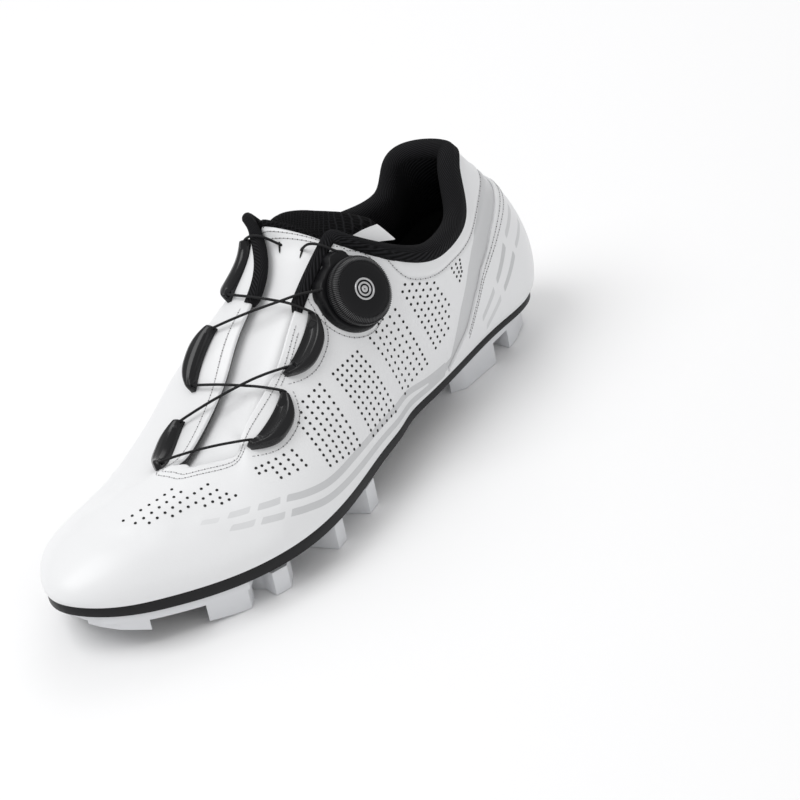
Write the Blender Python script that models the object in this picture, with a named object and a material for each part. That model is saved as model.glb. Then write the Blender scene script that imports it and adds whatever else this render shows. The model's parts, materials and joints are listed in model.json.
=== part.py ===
"""A left cycling shoe, standing empty on its sole.

A hollow upper, its padded collar, heel counter and tongue, an insole, a nylon sole plate with
cleat bolts and toe screws, a one-piece lugged tread, and a lace dial with five lace guides.
Metres, +Z up, toe towards -Y, the wearer's left (outer) side towards +X.
"""
import math
from collections import namedtuple

import bmesh
import bpy
import numpy as np
from mathutils import Matrix, Vector

# Driving sizes
SHOE_LENGTH = 0.286
BALL_WIDTH = 0.099
STACK_HEIGHT = 0.019        # floor to the line where upper and sole meet, at the heel
UPPER_RISE = 0.074          # from that line to the highest part of the heel collar, about
WALL = 0.0024               # coated microfibre with its lining
GAP = 0.0003                # clearance between pieces that touch
HALF_BALL = BALL_WIDTH / 2

# Sole
PLATE_INSET = 0.0003
TREAD_INSET = 0.0012
TREAD_GAP = 0.0007
TREAD_BASE = 0.0034
TREAD_SOCKET = 0.0016       # how deep a lug reaches into the tread's base
LUG_INSET = 0.0003          # a lug's side lies this much inside the tread's base
INSOLE_THICKNESS = 0.0030
INSOLE_SIDE_ROOM = 0.0008
BOLT_ROW = 0.014            # two bolts side by side
BOLT_COLUMN = 0.012         # two rows of bolts
BOLT_HEAD = 0.010
BOLT_HEAD_HEIGHT = 0.0026
BOLT_SOCKET = 0.0046
SLOT_WIDTH = 0.0056
SLOT_OVERRUN = 0.0036
SLOT_DEPTH = 0.0014
SCREW_SPACING = 0.031
SCREW_HEAD = 0.0112
SCREW_HEAD_HEIGHT = 0.0016
BOSS = 0.0198
BOSS_HEIGHT = 0.0024
BOSS_RECESS = 0.0158
BOSS_RECESS_DEPTH = 0.0010
CHEVRON_WIDTH = 0.0022
CHEVRON_DEPTH = 0.0012
CUT_DEPTH = 0.010           # how far the cutters reach past the sole's underside
CUT_TOP = 2.6 * STACK_HEIGHT  # top of the cutters through the whole sole
CLEAT_ALONG = 0.68          # share of the length, from the heel
CLEAT_ACROSS = -0.09        # share of half the ball width
SCREWS_ALONG = 0.858
SCREWS_ACROSS = -0.03

# Collar, tongue and counter
BINDING = 0.0012
BINDING_HEIGHT = 0.0026
RIM_GAP = 0.0005
LINING_DEPTH = WALL + 2 * GAP
COUNTER_THICKNESS = 0.0010
COUNTER_FOOT = 0.03         # share of the column's height left free above the sole
TONGUE_WALL = 0.0022
TONGUE_PAD = 0.0046
TONGUE_TUCK = 0.90          # how far under the flaps it reaches, as a share of a column
TONGUE_FRONT = (0.0, -0.006, -0.0012)
TONGUE_FLATTENS = (0.42, 0.56)  # shares of the length over which its crown flattens
TONGUE_TOP_CROWN = 0.35
TONGUE_SKEW = (0.018, 0.008)    # how far back its outer end and forward its inner end go

# Closure
DIAL_DIAMETER = 0.0282
DIAL_HEIGHT = 0.0066
DIAL_BASE_DIAMETER = 0.0304
DIAL_BASE_HEIGHT = 0.0028
DIAL_CAP_DIAMETER = 0.0100
DIAL_CAP_HEIGHT = 0.0008
DIAL_CAP_RECESS = 0.0005
DIAL_RIM_SLOPE = 0.0012
DIAL_PLACE = (0.2865, 0.685)
GUIDE_END = 0.0016          # how far a guide reaches past the lace's way at each end
LACE_DIAMETER = 0.0011

# Mesh steps
COLUMNS = 104
LACE_SIDES = 8

Section = namedtuple(
    "Section",
    "name along across base top_along top_across top_height lean rise reach drop")

# The upper is a ring of columns, from the sole line to the edge of the throat and collar.
# along and across place a column's foot and top_along, top_across, top_height its head;
# lean and rise start it out of the sole, reach and drop bring it into the edge.
# along is a share of the length from the heel, across and lean of half the ball width
# (outer side positive), base of the stack height, top_height and drop of the upper's rise,
# and rise and reach of the column's own height and span.
SECTIONS = [
    Section("toe_tip",          0.98, -0.06, 1.28, 0.735, 0.12, 0.37, 0.12, 0.42, 0.62, 0.02),
    Section("toe_outer",        0.95, 0.30, 1.16, 0.737, 0.18, 0.37, 0.11, 0.42, 0.62, 0.02),
    Section("toe_corner",       0.89, 0.57, 1.03, 0.72, 0.27, 0.37, 0.09, 0.40, 0.60, 0.03),
    Section("ball_front",       0.80, 0.86, 0.94, 0.69, 0.41, 0.37, 0.07, 0.36, 0.55, 0.05),
    Section("ball",             0.68, 1.03, 0.93, 0.655, 0.38, 0.465, 0.05, 0.34, 0.50, 0.10),
    Section("waist_front",      0.57, 0.96, 0.965, 0.565, 0.335, 0.62, 0.03, 0.32, 0.50, 0.16),
    Section("waist",            0.48, 0.83, 0.99, 0.475, 0.23, 0.85, 0.03, 0.34, 0.49, 0.18),
    Section("flap_edge",        0.43, 0.76, 0.985, 0.40, 0.19, 1.01, 0.03, 0.36, 0.43, 0.18),
    Section("flap_corner",      0.395, 0.695, 0.98, 0.387, 0.265, 1.01, 0.03, 0.38, 0.38, 0.20),
    Section("collar_front",     0.35, 0.66, 0.97, 0.337, 0.485, 0.845, 0.03, 0.36, 0.31, 0.22),
    Section("ankle",            0.25, 0.58, 0.93, 0.242, 0.595, 0.705, 0.065, 0.365, 0.255, 0.205),
    Section("heel_side",        0.14, 0.50, 0.895, 0.165, 0.435, 0.75, 0.13, 0.375, 0.32, 0.20),
    Section("heel_quarter",     0.045, 0.375, 0.865, 0.122, 0.21, 0.915, 0.18, 0.415, 0.49, 0.185),
    Section("heel_back",        0.017, 0.0, 0.905, 0.093, 0.0, 0.95, 0.18, 0.40, 0.40, 0.215),
    Section("heel_quarter_in",  0.045, -0.36, 0.93, 0.128, -0.335, 0.94, 0.145, 0.355, 0.30, 0.22),
    Section("heel_side_in",     0.14, -0.59, 0.96, 0.169, -0.45, 0.72, 0.10, 0.33, 0.105, 0.23),
    Section("ankle_in",         0.25, -0.585, 1.02, 0.268, -0.565, 0.715, 0.04, 0.34, 0.115, 0.225),
    Section("collar_front_in",  0.35, -0.575, 1.07, 0.384, -0.595, 0.91, 0.02, 0.36, 0.52, 0.155),
    Section("flap_corner_in",   0.395, -0.57, 1.08, 0.417, -0.565, 1.06, 0.02, 0.38, 0.89, 0.065),
    Section("flap_edge_in",     0.43, -0.585, 1.08, 0.434, -0.415, 1.02, 0.02, 0.36, 1.03, 0.04),
    Section("waist_in",         0.49, -0.62, 1.04, 0.471, -0.225, 0.89, 0.02, 0.35, 1.15, 0.01),
    Section("waist_front_in",   0.57, -0.73, 0.955, 0.54, -0.15, 0.73, 0.03, 0.32, 1.15, 0.0),
    Section("ball_in",          0.69, -0.90, 0.88, 0.615, -0.06, 0.53, 0.04, 0.32, 0.65, 0.075),
    Section("ball_front_in",    0.78, -0.90, 0.90, 0.69, 0.0, 0.395, 0.06, 0.335, 0.35, 0.10),
    Section("toe_corner_in",    0.89, -0.71, 1.02, 0.735, 0.03, 0.37, 0.085, 0.39, 0.46, 0.075),
    Section("toe_inner",        0.95, -0.40, 1.17, 0.745, 0.05, 0.375, 0.105, 0.425, 0.60, 0.03),
]

# Where things lie round the upper: 0 is the toe tip, then the outer side, the heel's back
# at about a half, and the inner side.
BINDINGS = [("binding_lateral", 0.258, 0.304), ("binding_medial", 0.670, 0.763)]
BINDING_TAPER = 0.008

# Sole edge: depth of the plate's band, and lift of the lugs' undersides off the floor,
# as shares of the stack height, by share of the length from the heel.
Edge = namedtuple("Edge", "along band lift")
SOLE_EDGE = [
    Edge(0.00, 0.14, 0.16),
    Edge(0.05, 0.15, 0.05),
    Edge(0.10, 0.16, 0.0),
    Edge(0.35, 0.19, 0.0),
    Edge(0.60, 0.26, 0.0),
    Edge(0.80, 0.26, 0.0),
    Edge(0.85, 0.26, 0.10),
    Edge(0.90, 0.25, 0.29),
    Edge(0.95, 0.22, 0.59),
    Edge(1.00, 0.20, 0.88),
]

# Plan of the tread: shares of the length from the heel, and of half the ball width.
TREAD_OUTLINE = [
    (0.545, 0.58), (0.61, 0.60), (0.66, 0.63), (0.70, 0.66), (0.755, 0.74), (0.775, 0.82),
    (0.81, 0.93), (0.835, 0.88), (0.86, 0.80), (0.895, 0.68), (0.926, 0.51), (0.945, 0.36),
    (0.956, 0.20), (0.961, 0.05), (0.960, -0.12), (0.948, -0.31), (0.928, -0.50),
    (0.90, -0.65), (0.865, -0.76), (0.835, -0.84), (0.80, -0.72), (0.75, -0.73),
    (0.70, -0.74), (0.62, -0.74), (0.59, -0.68), (0.55, -0.46), (0.44, -0.20), (0.36, -0.15),
    (0.30, -0.20), (0.265, -0.52), (0.20, -0.55), (0.10, -0.52), (0.06, -0.42), (0.032, -0.20),
    (0.028, 0.0), (0.032, 0.18), (0.06, 0.35), (0.10, 0.43), (0.20, 0.50), (0.265, 0.49),
    (0.30, 0.18), (0.36, 0.16), (0.44, 0.21),
]
CLEAT_OPENING = [
    (0.572, 0.36), (0.64, 0.36), (0.70, 0.38), (0.76, 0.44), (0.796, 0.50), (0.818, 0.64),
    (0.846, 0.66), (0.875, 0.58), (0.905, 0.44), (0.922, 0.20), (0.900, 0.16), (0.876, 0.06),
    (0.872, 0.01), (0.876, -0.05), (0.922, -0.15), (0.910, -0.44), (0.890, -0.54),
    (0.865, -0.62), (0.848, -0.60), (0.832, -0.53), (0.80, -0.51), (0.766, -0.52),
    (0.70, -0.54), (0.62, -0.53), (0.602, -0.36), (0.572, -0.03), (0.567, 0.10), (0.568, 0.22),
]
TREAD_WINDOWS = {
    "toe_window": [(0.888, 0.02), (0.914, 0.11), (0.914, -0.05)],
    "arch_window": [(0.455, 0.06), (0.508, 0.33), (0.532, 0.18), (0.545, -0.26), (0.467, -0.05)],
    "heel_window": [(0.105, 0.0), (0.125, 0.20), (0.225, 0.26), (0.255, 0.0), (0.225, -0.28),
                    (0.125, -0.25)],
}
LUGS = {
    "outer_rear": [(0.575, 0.46), (0.545, 0.50), (0.515, 0.74), (0.522, 0.87), (0.546, 0.91),
                   (0.565, 0.68), (0.592, 0.52)],
    "outer_middle": [(0.625, 0.46), (0.598, 0.56), (0.596, 0.79), (0.610, 0.95), (0.633, 0.98),
                     (0.644, 0.79), (0.672, 0.48)],
    "outer_front": [(0.715, 0.50), (0.698, 0.62), (0.707, 0.86), (0.733, 0.97), (0.755, 0.95),
                    (0.750, 0.78), (0.765, 0.56)],
    "outer_toe": [(0.792, 0.56), (0.772, 0.78), (0.808, 0.91), (0.846, 0.82), (0.862, 0.70),
                  (0.840, 0.69), (0.812, 0.68)],
    "toe_outer": [(0.908, 0.40), (0.914, 0.53), (0.926, 0.46), (0.940, 0.34), (0.953, 0.16),
                  (0.956, 0.05), (0.932, 0.05), (0.920, 0.28)],
    "toe_inner": [(0.930, -0.12), (0.953, -0.16), (0.943, -0.31), (0.923, -0.49), (0.898, -0.62),
                  (0.896, -0.55), (0.917, -0.42)],
    "inner_toe": [(0.836, -0.57), (0.804, -0.60), (0.806, -0.74), (0.830, -0.82), (0.866, -0.73),
                  (0.864, -0.66), (0.845, -0.63)],
    "inner_front": [(0.765, -0.55), (0.742, -0.60), (0.752, -0.76), (0.776, -0.87),
                    (0.800, -0.83), (0.788, -0.62)],
    "inner_middle": [(0.710, -0.57), (0.672, -0.60), (0.668, -0.82), (0.684, -0.88),
                     (0.708, -0.87), (0.716, -0.70)],
    "inner_rear": [(0.618, -0.56), (0.598, -0.50), (0.586, -0.66), (0.596, -0.74),
                   (0.626, -0.78), (0.636, -0.66)],
    "heel_outer_front": [(0.162, 0.24), (0.162, 0.465), (0.236, 0.475), (0.256, 0.40),
                         (0.222, 0.27)],
    "heel_inner_front": [(0.162, -0.28), (0.222, -0.30), (0.256, -0.42), (0.236, -0.52),
                         (0.162, -0.52)],
    "heel_back": [(0.122, 0.22), (0.100, 0.02), (0.122, -0.26), (0.122, -0.50), (0.095, -0.48),
                  (0.062, -0.38), (0.036, -0.18), (0.033, 0.0), (0.036, 0.16), (0.062, 0.31),
                  (0.098, 0.40), (0.122, 0.43)],
}
CHEVRONS = [[(0.777, 0.36), (0.842, 0.0), (0.777, -0.38)], [(0.777, 0.20), (0.812, -0.01),
                                                          (0.777, -0.22)]]

# The padded collar, by place round the upper: height of the roll over the edge, thickness of
# the pad inside the wall, and how far down the column the lining reaches.
Collar = namedtuple("Collar", "place roll pad reach")
COLLAR = [
    Collar(0.306, 0.0024, 0.0006, 0.955),
    Collar(0.335, 0.0038, 0.0014, 0.90),
    Collar(0.360, 0.0048, 0.0035, 0.72),
    Collar(0.425, 0.0050, 0.0050, 0.50),
    Collar(0.502, 0.0042, 0.0050, 0.42),
    Collar(0.581, 0.0050, 0.0050, 0.50),
    Collar(0.632, 0.0046, 0.0035, 0.72),
    Collar(0.655, 0.0030, 0.0014, 0.90),
    Collar(0.668, 0.0024, 0.0006, 0.955),
]

# Front edge of the heel counter: share of the column's height that it covers, by place.
Counter = namedtuple("Counter", "place top")
COUNTER = [
    Counter(0.354, 0.06), Counter(0.380, 0.22), Counter(0.395, 0.39), Counter(0.412, 0.53),
    Counter(0.440, 0.60), Counter(0.470, 0.63), Counter(0.502, 0.64), Counter(0.534, 0.63),
    Counter(0.564, 0.60), Counter(0.592, 0.53), Counter(0.609, 0.39), Counter(0.624, 0.22),
    Counter(0.650, 0.06),
]

# Short spouts of the dial's base where the lace comes out: angle in degrees from the way
# round the upper, turning up the column, and length past the rim.
Spout = namedtuple("Spout", "angle length")
DIAL_SPOUTS = [Spout(90, 0.0030), Spout(153, 0.0008)]
SPOUT_SPREAD = math.radians(19)

# Lace guides: two ends of the lace's way, each as place and share of the column, and the
# width of the crescent. The hollow side faces the throat.
Guide = namedtuple("Guide", "name rear front width height")
GUIDES = [
    Guide("guide_medial_1", (0.716, 0.872), (0.758, 0.858), 0.0070, 0.0046),
    Guide("guide_medial_2", (0.783, 0.880), (0.832, 0.862), 0.0075, 0.0044),
    Guide("guide_medial_3", (0.858, 0.835), (0.925, 0.900), 0.0082, 0.0042),
    Guide("guide_lateral_1", (0.262, 0.885), (0.224, 0.925), 0.0088, 0.0038),
    Guide("guide_lateral_2", (0.210, 0.880), (0.162, 0.878), 0.0092, 0.0038),
]

LEATHER_WHITE = (0.86, 0.87, 0.88, 1.0)
RUBBER_WHITE = (0.80, 0.81, 0.82, 1.0)
NYLON_BLACK = (0.018, 0.019, 0.022, 1.0)
MESH_BLACK = (0.012, 0.012, 0.014, 1.0)
COUNTER_GREY = (0.72, 0.73, 0.75, 1.0)
STEEL = (0.56, 0.55, 0.53, 1.0)
CAP_GREY = (0.42, 0.42, 0.43, 1.0)


def periodic_spline(knots, values):
    """A smooth closed curve through the values, with a period of one."""
    count = len(knots)
    spans = np.diff(np.append(knots, knots[0] + 1.0))
    matrix = np.zeros((count, count))
    right = np.zeros_like(values)
    for i in range(count):
        before, after = spans[i - 1], spans[i]
        matrix[i, (i - 1) % count] += after
        matrix[i, i] += 2 * (before + after)
        matrix[i, (i + 1) % count] += before
        right[i] = 3 * (after * (values[i] - values[i - 1]) / before
                        + before * (values[(i + 1) % count] - values[i]) / after)
    slopes = np.linalg.solve(matrix, right)

    def curve(places):
        t = np.mod(np.asarray(places, float), 1.0)
        i = np.clip(np.searchsorted(knots, t, side="right") - 1, 0, count - 1)
        j = (i + 1) % count
        span = spans[i][..., None]
        u = (t - knots[i])[..., None] / span
        return ((1 + 2 * u) * (1 - u) ** 2 * values[i] + u * (1 - u) ** 2 * span * slopes[i]
                + u ** 2 * (3 - 2 * u) * values[j] + u ** 2 * (u - 1) * span * slopes[j])

    return curve


def shoe_y(along):
    """Share of the length from the heel, as a place along Y."""
    return SHOE_LENGTH * (0.5 - np.asarray(along, float))


def last_curves():
    """Feet, heads and handles of the upper's columns, as one closed curve."""
    table = np.array([row[1:] for row in SECTIONS], float)
    feet = np.stack([table[:, 1] * HALF_BALL, shoe_y(table[:, 0]), table[:, 2] * STACK_HEIGHT], 1)
    heads = np.stack([table[:, 4] * HALF_BALL, shoe_y(table[:, 3]),
                      STACK_HEIGHT + table[:, 5] * UPPER_RISE], 1)
    handles = np.stack([table[:, 6] * HALF_BALL, table[:, 7], table[:, 8],
                        table[:, 9] * UPPER_RISE], 1)
    steps = np.linalg.norm(np.roll(feet[:, :2], -1, 0) - feet[:, :2], axis=1)
    knots = np.concatenate([[0.0], np.cumsum(steps)[:-1]]) / steps.sum()
    return periodic_spline(knots, np.concatenate([feet, heads, handles], 1))


LAST = last_curves()
NUDGE = 1e-4
NORMAL_SPREAD = 0.014       # normals are read over this much to each side, so walls stay whole


def column(places):
    """The four control points of the column at each place, and its outward direction."""
    values = LAST(places)
    run = (LAST(np.asarray(places) + NUDGE) - LAST(np.asarray(places) - NUDGE))[..., :2]
    outward = np.stack([run[..., 1], -run[..., 0]], -1)
    outward = outward / np.linalg.norm(outward, axis=-1, keepdims=True)
    outward = np.concatenate([outward, np.zeros(outward.shape[:-1] + (1,))], -1)
    foot, head, handle = values[..., 0:3], values[..., 3:6], values[..., 6:10]
    height = (head - foot)[..., 2:3]
    up = np.array([0.0, 0.0, 1.0])
    flat = (foot - head) * np.array([1.0, 1.0, 0.0])
    low = foot + outward * handle[..., 0:1] + up * height * handle[..., 1:2]
    high = head + flat * handle[..., 2:3] - up * handle[..., 3:4]
    return foot, low, high, head, outward


def skin(places, shares):
    """A point of the upper's outer surface, by place round it and share of the column."""
    foot, low, high, head, _ = column(places)
    v = np.asarray(shares, float)[..., None]
    return ((1 - v) ** 3 * foot + 3 * v * (1 - v) ** 2 * low
            + 3 * v ** 2 * (1 - v) * high + v ** 3 * head)


def skin_frame(places, shares):
    """Surface point, direction up the column and outward normal."""
    p = np.asarray(places, float)
    v = np.asarray(shares, float)
    p, v = np.broadcast_arrays(p, v)
    upper, lower = np.clip(v + NUDGE, 0, 1), np.clip(v - NUDGE, 0, 1)
    normal = 0.0
    for step in (-NORMAL_SPREAD, -NORMAL_SPREAD / 2, 0.0, NORMAL_SPREAD / 2, NORMAL_SPREAD):
        near = p + step
        rise = skin(near, upper) - skin(near, lower)
        run = skin(near + NUDGE, v) - skin(near - NUDGE, v)
        side = np.cross(run, rise)
        normal = normal + side / np.linalg.norm(side, axis=-1, keepdims=True)
    rise = skin(p, upper) - skin(p, lower)
    rise = rise / np.linalg.norm(rise, axis=-1, keepdims=True)
    normal = normal - (normal * rise).sum(-1, keepdims=True) * rise
    normal = normal / np.linalg.norm(normal, axis=-1, keepdims=True)
    return skin(p, v), rise, normal


def shell(places, shares, offset):
    """The surface moved outward by offset, or inward where it is negative."""
    point, _, normal = skin_frame(places, shares)
    return point + normal * np.asarray(offset, float)[..., None]


def table_curve(rows, field, places, key="place"):
    """A named column of a table of rows, read smoothly between its rows."""
    keys = [getattr(row, key) for row in rows]
    return np.interp(places, keys, [getattr(row, field) for row in rows])


def material(name, color, roughness, metallic=0.0):
    found = bpy.data.materials.get(name)
    if found:
        return found
    made = bpy.data.materials.new(name)
    made.use_nodes = True
    shader = made.node_tree.nodes["Principled BSDF"]
    shader.inputs["Base Color"].default_value = color
    shader.inputs["Roughness"].default_value = roughness
    shader.inputs["Metallic"].default_value = metallic
    return made


def add_piece(name, mesh, finish, collection):
    piece = bpy.data.objects.new(name, mesh)
    collection.objects.link(piece)
    mesh.materials.clear()
    mesh.materials.append(finish)
    mesh.shade_smooth()
    mesh.set_sharp_from_angle(angle=math.radians(35))
    return piece


def mesh_from(bm, name):
    bmesh.ops.recalc_face_normals(bm, faces=bm.faces)
    mesh = bpy.data.meshes.new(name)
    bm.to_mesh(mesh)
    bm.free()
    return mesh


def grid_mesh(name, rings, round_rings, round_stack):
    """Quads between rings of points. Rings that aren't round get a flat end on each side,
    and a stack that isn't round gets a cap on its first and last ring."""
    bm = bmesh.new()
    rows = [[bm.verts.new(point) for point in ring] for ring in rings]
    count = len(rows[0])
    stack = len(rows)
    for i in range(stack if round_stack else stack - 1):
        lower, upper = rows[i], rows[(i + 1) % stack]
        for j in range(count if round_rings else count - 1):
            k = (j + 1) % count
            bm.faces.new((lower[j], lower[k], upper[k], upper[j]))
    if not round_stack:
        bm.faces.new(list(reversed(rows[0])))
        bm.faces.new(rows[-1])
    return mesh_from(bm, name)


def slab_mesh(name, outer, inner):
    """A closed slab between two grids of points of the same shape."""
    bm = bmesh.new()
    top = [[bm.verts.new(point) for point in row] for row in outer]
    low = [[bm.verts.new(point) for point in row] for row in inner]
    rows, columns = len(top), len(top[0])
    for i in range(rows - 1):
        for j in range(columns - 1):
            bm.faces.new((top[i][j], top[i][j + 1], top[i + 1][j + 1], top[i + 1][j]))
            bm.faces.new((low[i][j], low[i + 1][j], low[i + 1][j + 1], low[i][j + 1]))
    rim = ([(0, j) for j in range(columns)] + [(i, columns - 1) for i in range(1, rows)]
           + [(rows - 1, j) for j in range(columns - 2, -1, -1)]
           + [(i, 0) for i in range(rows - 2, 0, -1)])
    for (i, j), (m, n) in zip(rim, rim[1:] + rim[:1]):
        bm.faces.new((top[i][j], low[i][j], low[m][n], top[m][n]))
    return mesh_from(bm, name)


def prism_mesh(name, outline, bottom, top):
    """An upright prism on a flat outline of (x, y) points."""
    bm = bmesh.new()
    face = bm.faces.new([bm.verts.new((x, y, bottom)) for x, y in outline])
    made = bmesh.ops.extrude_face_region(bm, geom=[face])
    moved = [item for item in made["geom"] if isinstance(item, bmesh.types.BMVert)]
    bmesh.ops.translate(bm, verts=moved, vec=(0, 0, top - bottom))
    return mesh_from(bm, name)


def boolean(piece, others, operation, solver="EXACT"):
    """Cut or join, applied at once, and the other objects are removed."""
    for other in others:
        step = piece.modifiers.new(operation.lower(), "BOOLEAN")
        step.operation = operation
        step.solver = solver
        step.object = other
    bpy.context.view_layer.update()
    graph = bpy.context.evaluated_depsgraph_get()
    result = bpy.data.meshes.new_from_object(piece.evaluated_get(graph))
    piece.modifiers.clear()
    piece.data = result
    for other in others:
        bpy.data.objects.remove(other)
    return piece


def loose(name, mesh, collection):
    made = bpy.data.objects.new(name, mesh)
    collection.objects.link(made)
    return made


def cylinder_mesh(name, radius, bottom, top, segments, top_radius=None):
    bm = bmesh.new()
    bmesh.ops.create_cone(
        bm, cap_ends=True, segments=segments, radius1=radius,
        radius2=radius if top_radius is None else top_radius, depth=top - bottom,
        matrix=Matrix.Translation((0, 0, (bottom + top) / 2)))
    return mesh_from(bm, name)


def plan(points):
    """Shares of length and half ball width, as (x, y) places."""
    return [(across * HALF_BALL, float(shoe_y(along))) for along, across in points]


# Sole


def sole_line(inset):
    """Outer and inner edge of the sole, each from heel to toe, moved inward by inset."""
    places = np.linspace(0.0, 1.0, 1201)[:-1]
    foot, _, _, _, outward = column(places)
    line = foot - outward * inset
    line[:, 2] = foot[:, 2]
    toe, heel = int(np.argmin(line[:, 1])), int(np.argmax(line[:, 1]))
    turned = np.roll(line, -toe, 0)
    heel = (heel - toe) % len(places)
    outer = turned[:heel + 1][::-1]
    inner = np.concatenate([turned[heel:], turned[:1]])
    return outer, inner


def loft_between(name, inset, top_of, bottom_of, stations=36, across=6):
    """A solid under the sole line: stations from heel to toe, each with a flat-sided section."""
    outer, inner = sole_line(inset)
    back, front = outer[0, 1], outer[-1, 1]
    turn = np.linspace(0.03, 0.97, stations)
    ys = back + (front - back) * (1 - np.cos(np.pi * turn)) / 2
    rings = []
    for y in ys:
        ends = [np.array([np.interp(-y, -line[:, 1], line[:, 0]), y,
                          np.interp(-y, -line[:, 1], line[:, 2])]) for line in (outer, inner)]
        along = 0.5 - y / SHOE_LENGTH
        row = [ends[0] + (ends[1] - ends[0]) * share for share in np.linspace(0, 1, across)]
        upper = [(x, yy, top_of(along, z)) for x, yy, z in row]
        lower = [(x, yy, bottom_of(along, z)) for x, yy, z in row]
        rings.append(upper + lower[::-1])
    return grid_mesh(name, rings, round_rings=True, round_stack=False)


def band(along):
    return table_curve(SOLE_EDGE, "band", along, "along") * STACK_HEIGHT


def lift(along):
    return table_curve(SOLE_EDGE, "lift", along, "along") * STACK_HEIGHT


def plate_under(along, line_height):
    return line_height - GAP - band(along)


def under_height(x, y):
    """Height of the plate's underside over a place on the floor."""
    outer, inner = sole_line(PLATE_INSET)
    ends = [(np.interp(-y, -line[:, 1], line[:, 0]), np.interp(-y, -line[:, 1], line[:, 2]))
            for line in (outer, inner)]
    (x_outer, z_outer), (x_inner, z_inner) = ends
    share = np.clip((x_outer - x) / (x_outer - x_inner), 0, 1)
    along = 0.5 - y / SHOE_LENGTH
    return float(plate_under(along, z_outer + (z_inner - z_outer) * share))


def bolt_places():
    middle = Vector((CLEAT_ACROSS * HALF_BALL, float(shoe_y(CLEAT_ALONG))))
    return [(middle.x + side * BOLT_ROW / 2, middle.y + row * BOLT_COLUMN / 2)
            for row in (-1, 1) for side in (1, -1)]


def screw_places():
    middle = Vector((SCREWS_ACROSS * HALF_BALL, float(shoe_y(SCREWS_ALONG))))
    return [(middle.x + side * SCREW_SPACING / 2, middle.y) for side in (1, -1)]


def groove_outline(points, width):
    """A band of constant width along three points, as in a chevron."""
    path = [Vector(point) for point in plan(points)]
    sides = []
    for side in (1, -1):
        row = []
        for i, point in enumerate(path):
            before = path[max(i - 1, 0)]
            after = path[min(i + 1, len(path) - 1)]
            first = (point - before).normalized() if i else (after - point).normalized()
            last = (after - point).normalized() if i < len(path) - 1 else first
            tangent = (first + last).normalized()
            normal = Vector((-tangent.y, tangent.x))
            stretch = 1 / max(0.35, normal.dot(Vector((-first.y, first.x))))
            row.append(point + normal * side * width / 2 * stretch)
        sides.append(row)
    return [tuple(point) for point in sides[0] + sides[1][::-1]]


def make_sole_plate(collection, cutters, finish):
    plate = add_piece("sole_plate", loft_between(
        "sole_plate", PLATE_INSET, lambda along, z: z - GAP, plate_under), finish, collection)
    bosses = []
    recesses = []
    for x, y in screw_places():
        under = under_height(x, y)
        boss = loose("boss", cylinder_mesh("boss", BOSS / 2, under - BOSS_HEIGHT,
                                           under + band(SCREWS_ALONG) / 2, 32), cutters)
        recess = loose("boss_recess", cylinder_mesh(
            "boss_recess", BOSS_RECESS / 2, under - 2 * BOSS_HEIGHT,
            under - BOSS_HEIGHT + BOSS_RECESS_DEPTH, 28), cutters)
        boss.location = recess.location = (x, y, 0)
        bosses.append(boss)
        recesses.append(recess)
    boolean(plate, bosses, "UNION")
    cuts = list(recesses)
    middle = float(shoe_y(CLEAT_ALONG))
    for side in (1, -1):
        x = CLEAT_ACROSS * HALF_BALL + side * BOLT_ROW / 2
        reach = BOLT_COLUMN / 2 + SLOT_WIDTH / 2 + SLOT_OVERRUN
        corners = []
        for end in (1, -1):
            centre = middle + end * (reach - SLOT_WIDTH / 2)
            for k in range(7):
                angle = math.pi * k / 6 + (0 if end > 0 else math.pi)
                corners.append((x + SLOT_WIDTH / 2 * math.cos(angle),
                                centre + SLOT_WIDTH / 2 * math.sin(angle)))
        under = under_height(x, middle)
        cuts.append(loose("cleat_slot", prism_mesh(
            "cleat_slot", corners, under - CUT_DEPTH, under + SLOT_DEPTH), cutters))
    for points in CHEVRONS:
        x, y = plan(points)[0]
        under = under_height(x, y)
        cuts.append(loose("chevron", prism_mesh(
            "chevron", groove_outline(points, CHEVRON_WIDTH), under - CUT_DEPTH,
            under + CHEVRON_DEPTH), cutters))
    return boolean(plate, cuts, "DIFFERENCE")


def make_outsole(collection, cutters, finish):
    """Tread base cut to its plan from a layer under the plate, joined with its lugs."""
    def tread_top(along, z):
        return plate_under(along, z) - TREAD_GAP

    def base_under(along, z):
        return tread_top(along, z) - TREAD_BASE

    def lug_top(along, z):
        return tread_top(along, z) - TREAD_SOCKET

    def lug_under(along, z):
        return lift(along)

    base = loose("tread_base", loft_between(
        "tread_base", TREAD_INSET, tread_top, base_under, across=5), cutters)
    frame = loose("tread_plan", prism_mesh("tread_plan", plan(TREAD_OUTLINE), -CUT_DEPTH, CUT_TOP), cutters)
    boolean(base, [frame], "INTERSECT")
    openings = {"cleat_opening": CLEAT_OPENING, **TREAD_WINDOWS}
    boolean(base, [loose(name, prism_mesh(name, plan(points), -CUT_DEPTH, CUT_TOP), cutters)
                   for name, points in openings.items()], "DIFFERENCE")
    block = loose("lug_layer", loft_between(
        "lug_layer", TREAD_INSET + LUG_INSET, lug_top, lug_under, across=5), cutters)
    prisms = bmesh.new()
    for points in LUGS.values():
        mesh = prism_mesh("lug", plan(points), -CUT_DEPTH, CUT_TOP)
        prisms.from_mesh(mesh)
        bpy.data.meshes.remove(mesh)
    lugs = loose("lugs", mesh_from(prisms, "lugs"), cutters)
    boolean(block, [lugs], "INTERSECT")
    boolean(base, [block], "UNION", "MANIFOLD")
    mesh = base.data.copy()
    bpy.data.objects.remove(base)
    return add_piece("outsole", mesh, finish, collection)


def make_insole(collection, finish):
    inset = WALL + GAP + INSOLE_SIDE_ROOM
    return add_piece("insole", loft_between(
        "insole", inset, lambda along, z: z + INSOLE_THICKNESS,
        lambda along, z: z, stations=28, across=5), finish, collection)


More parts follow.
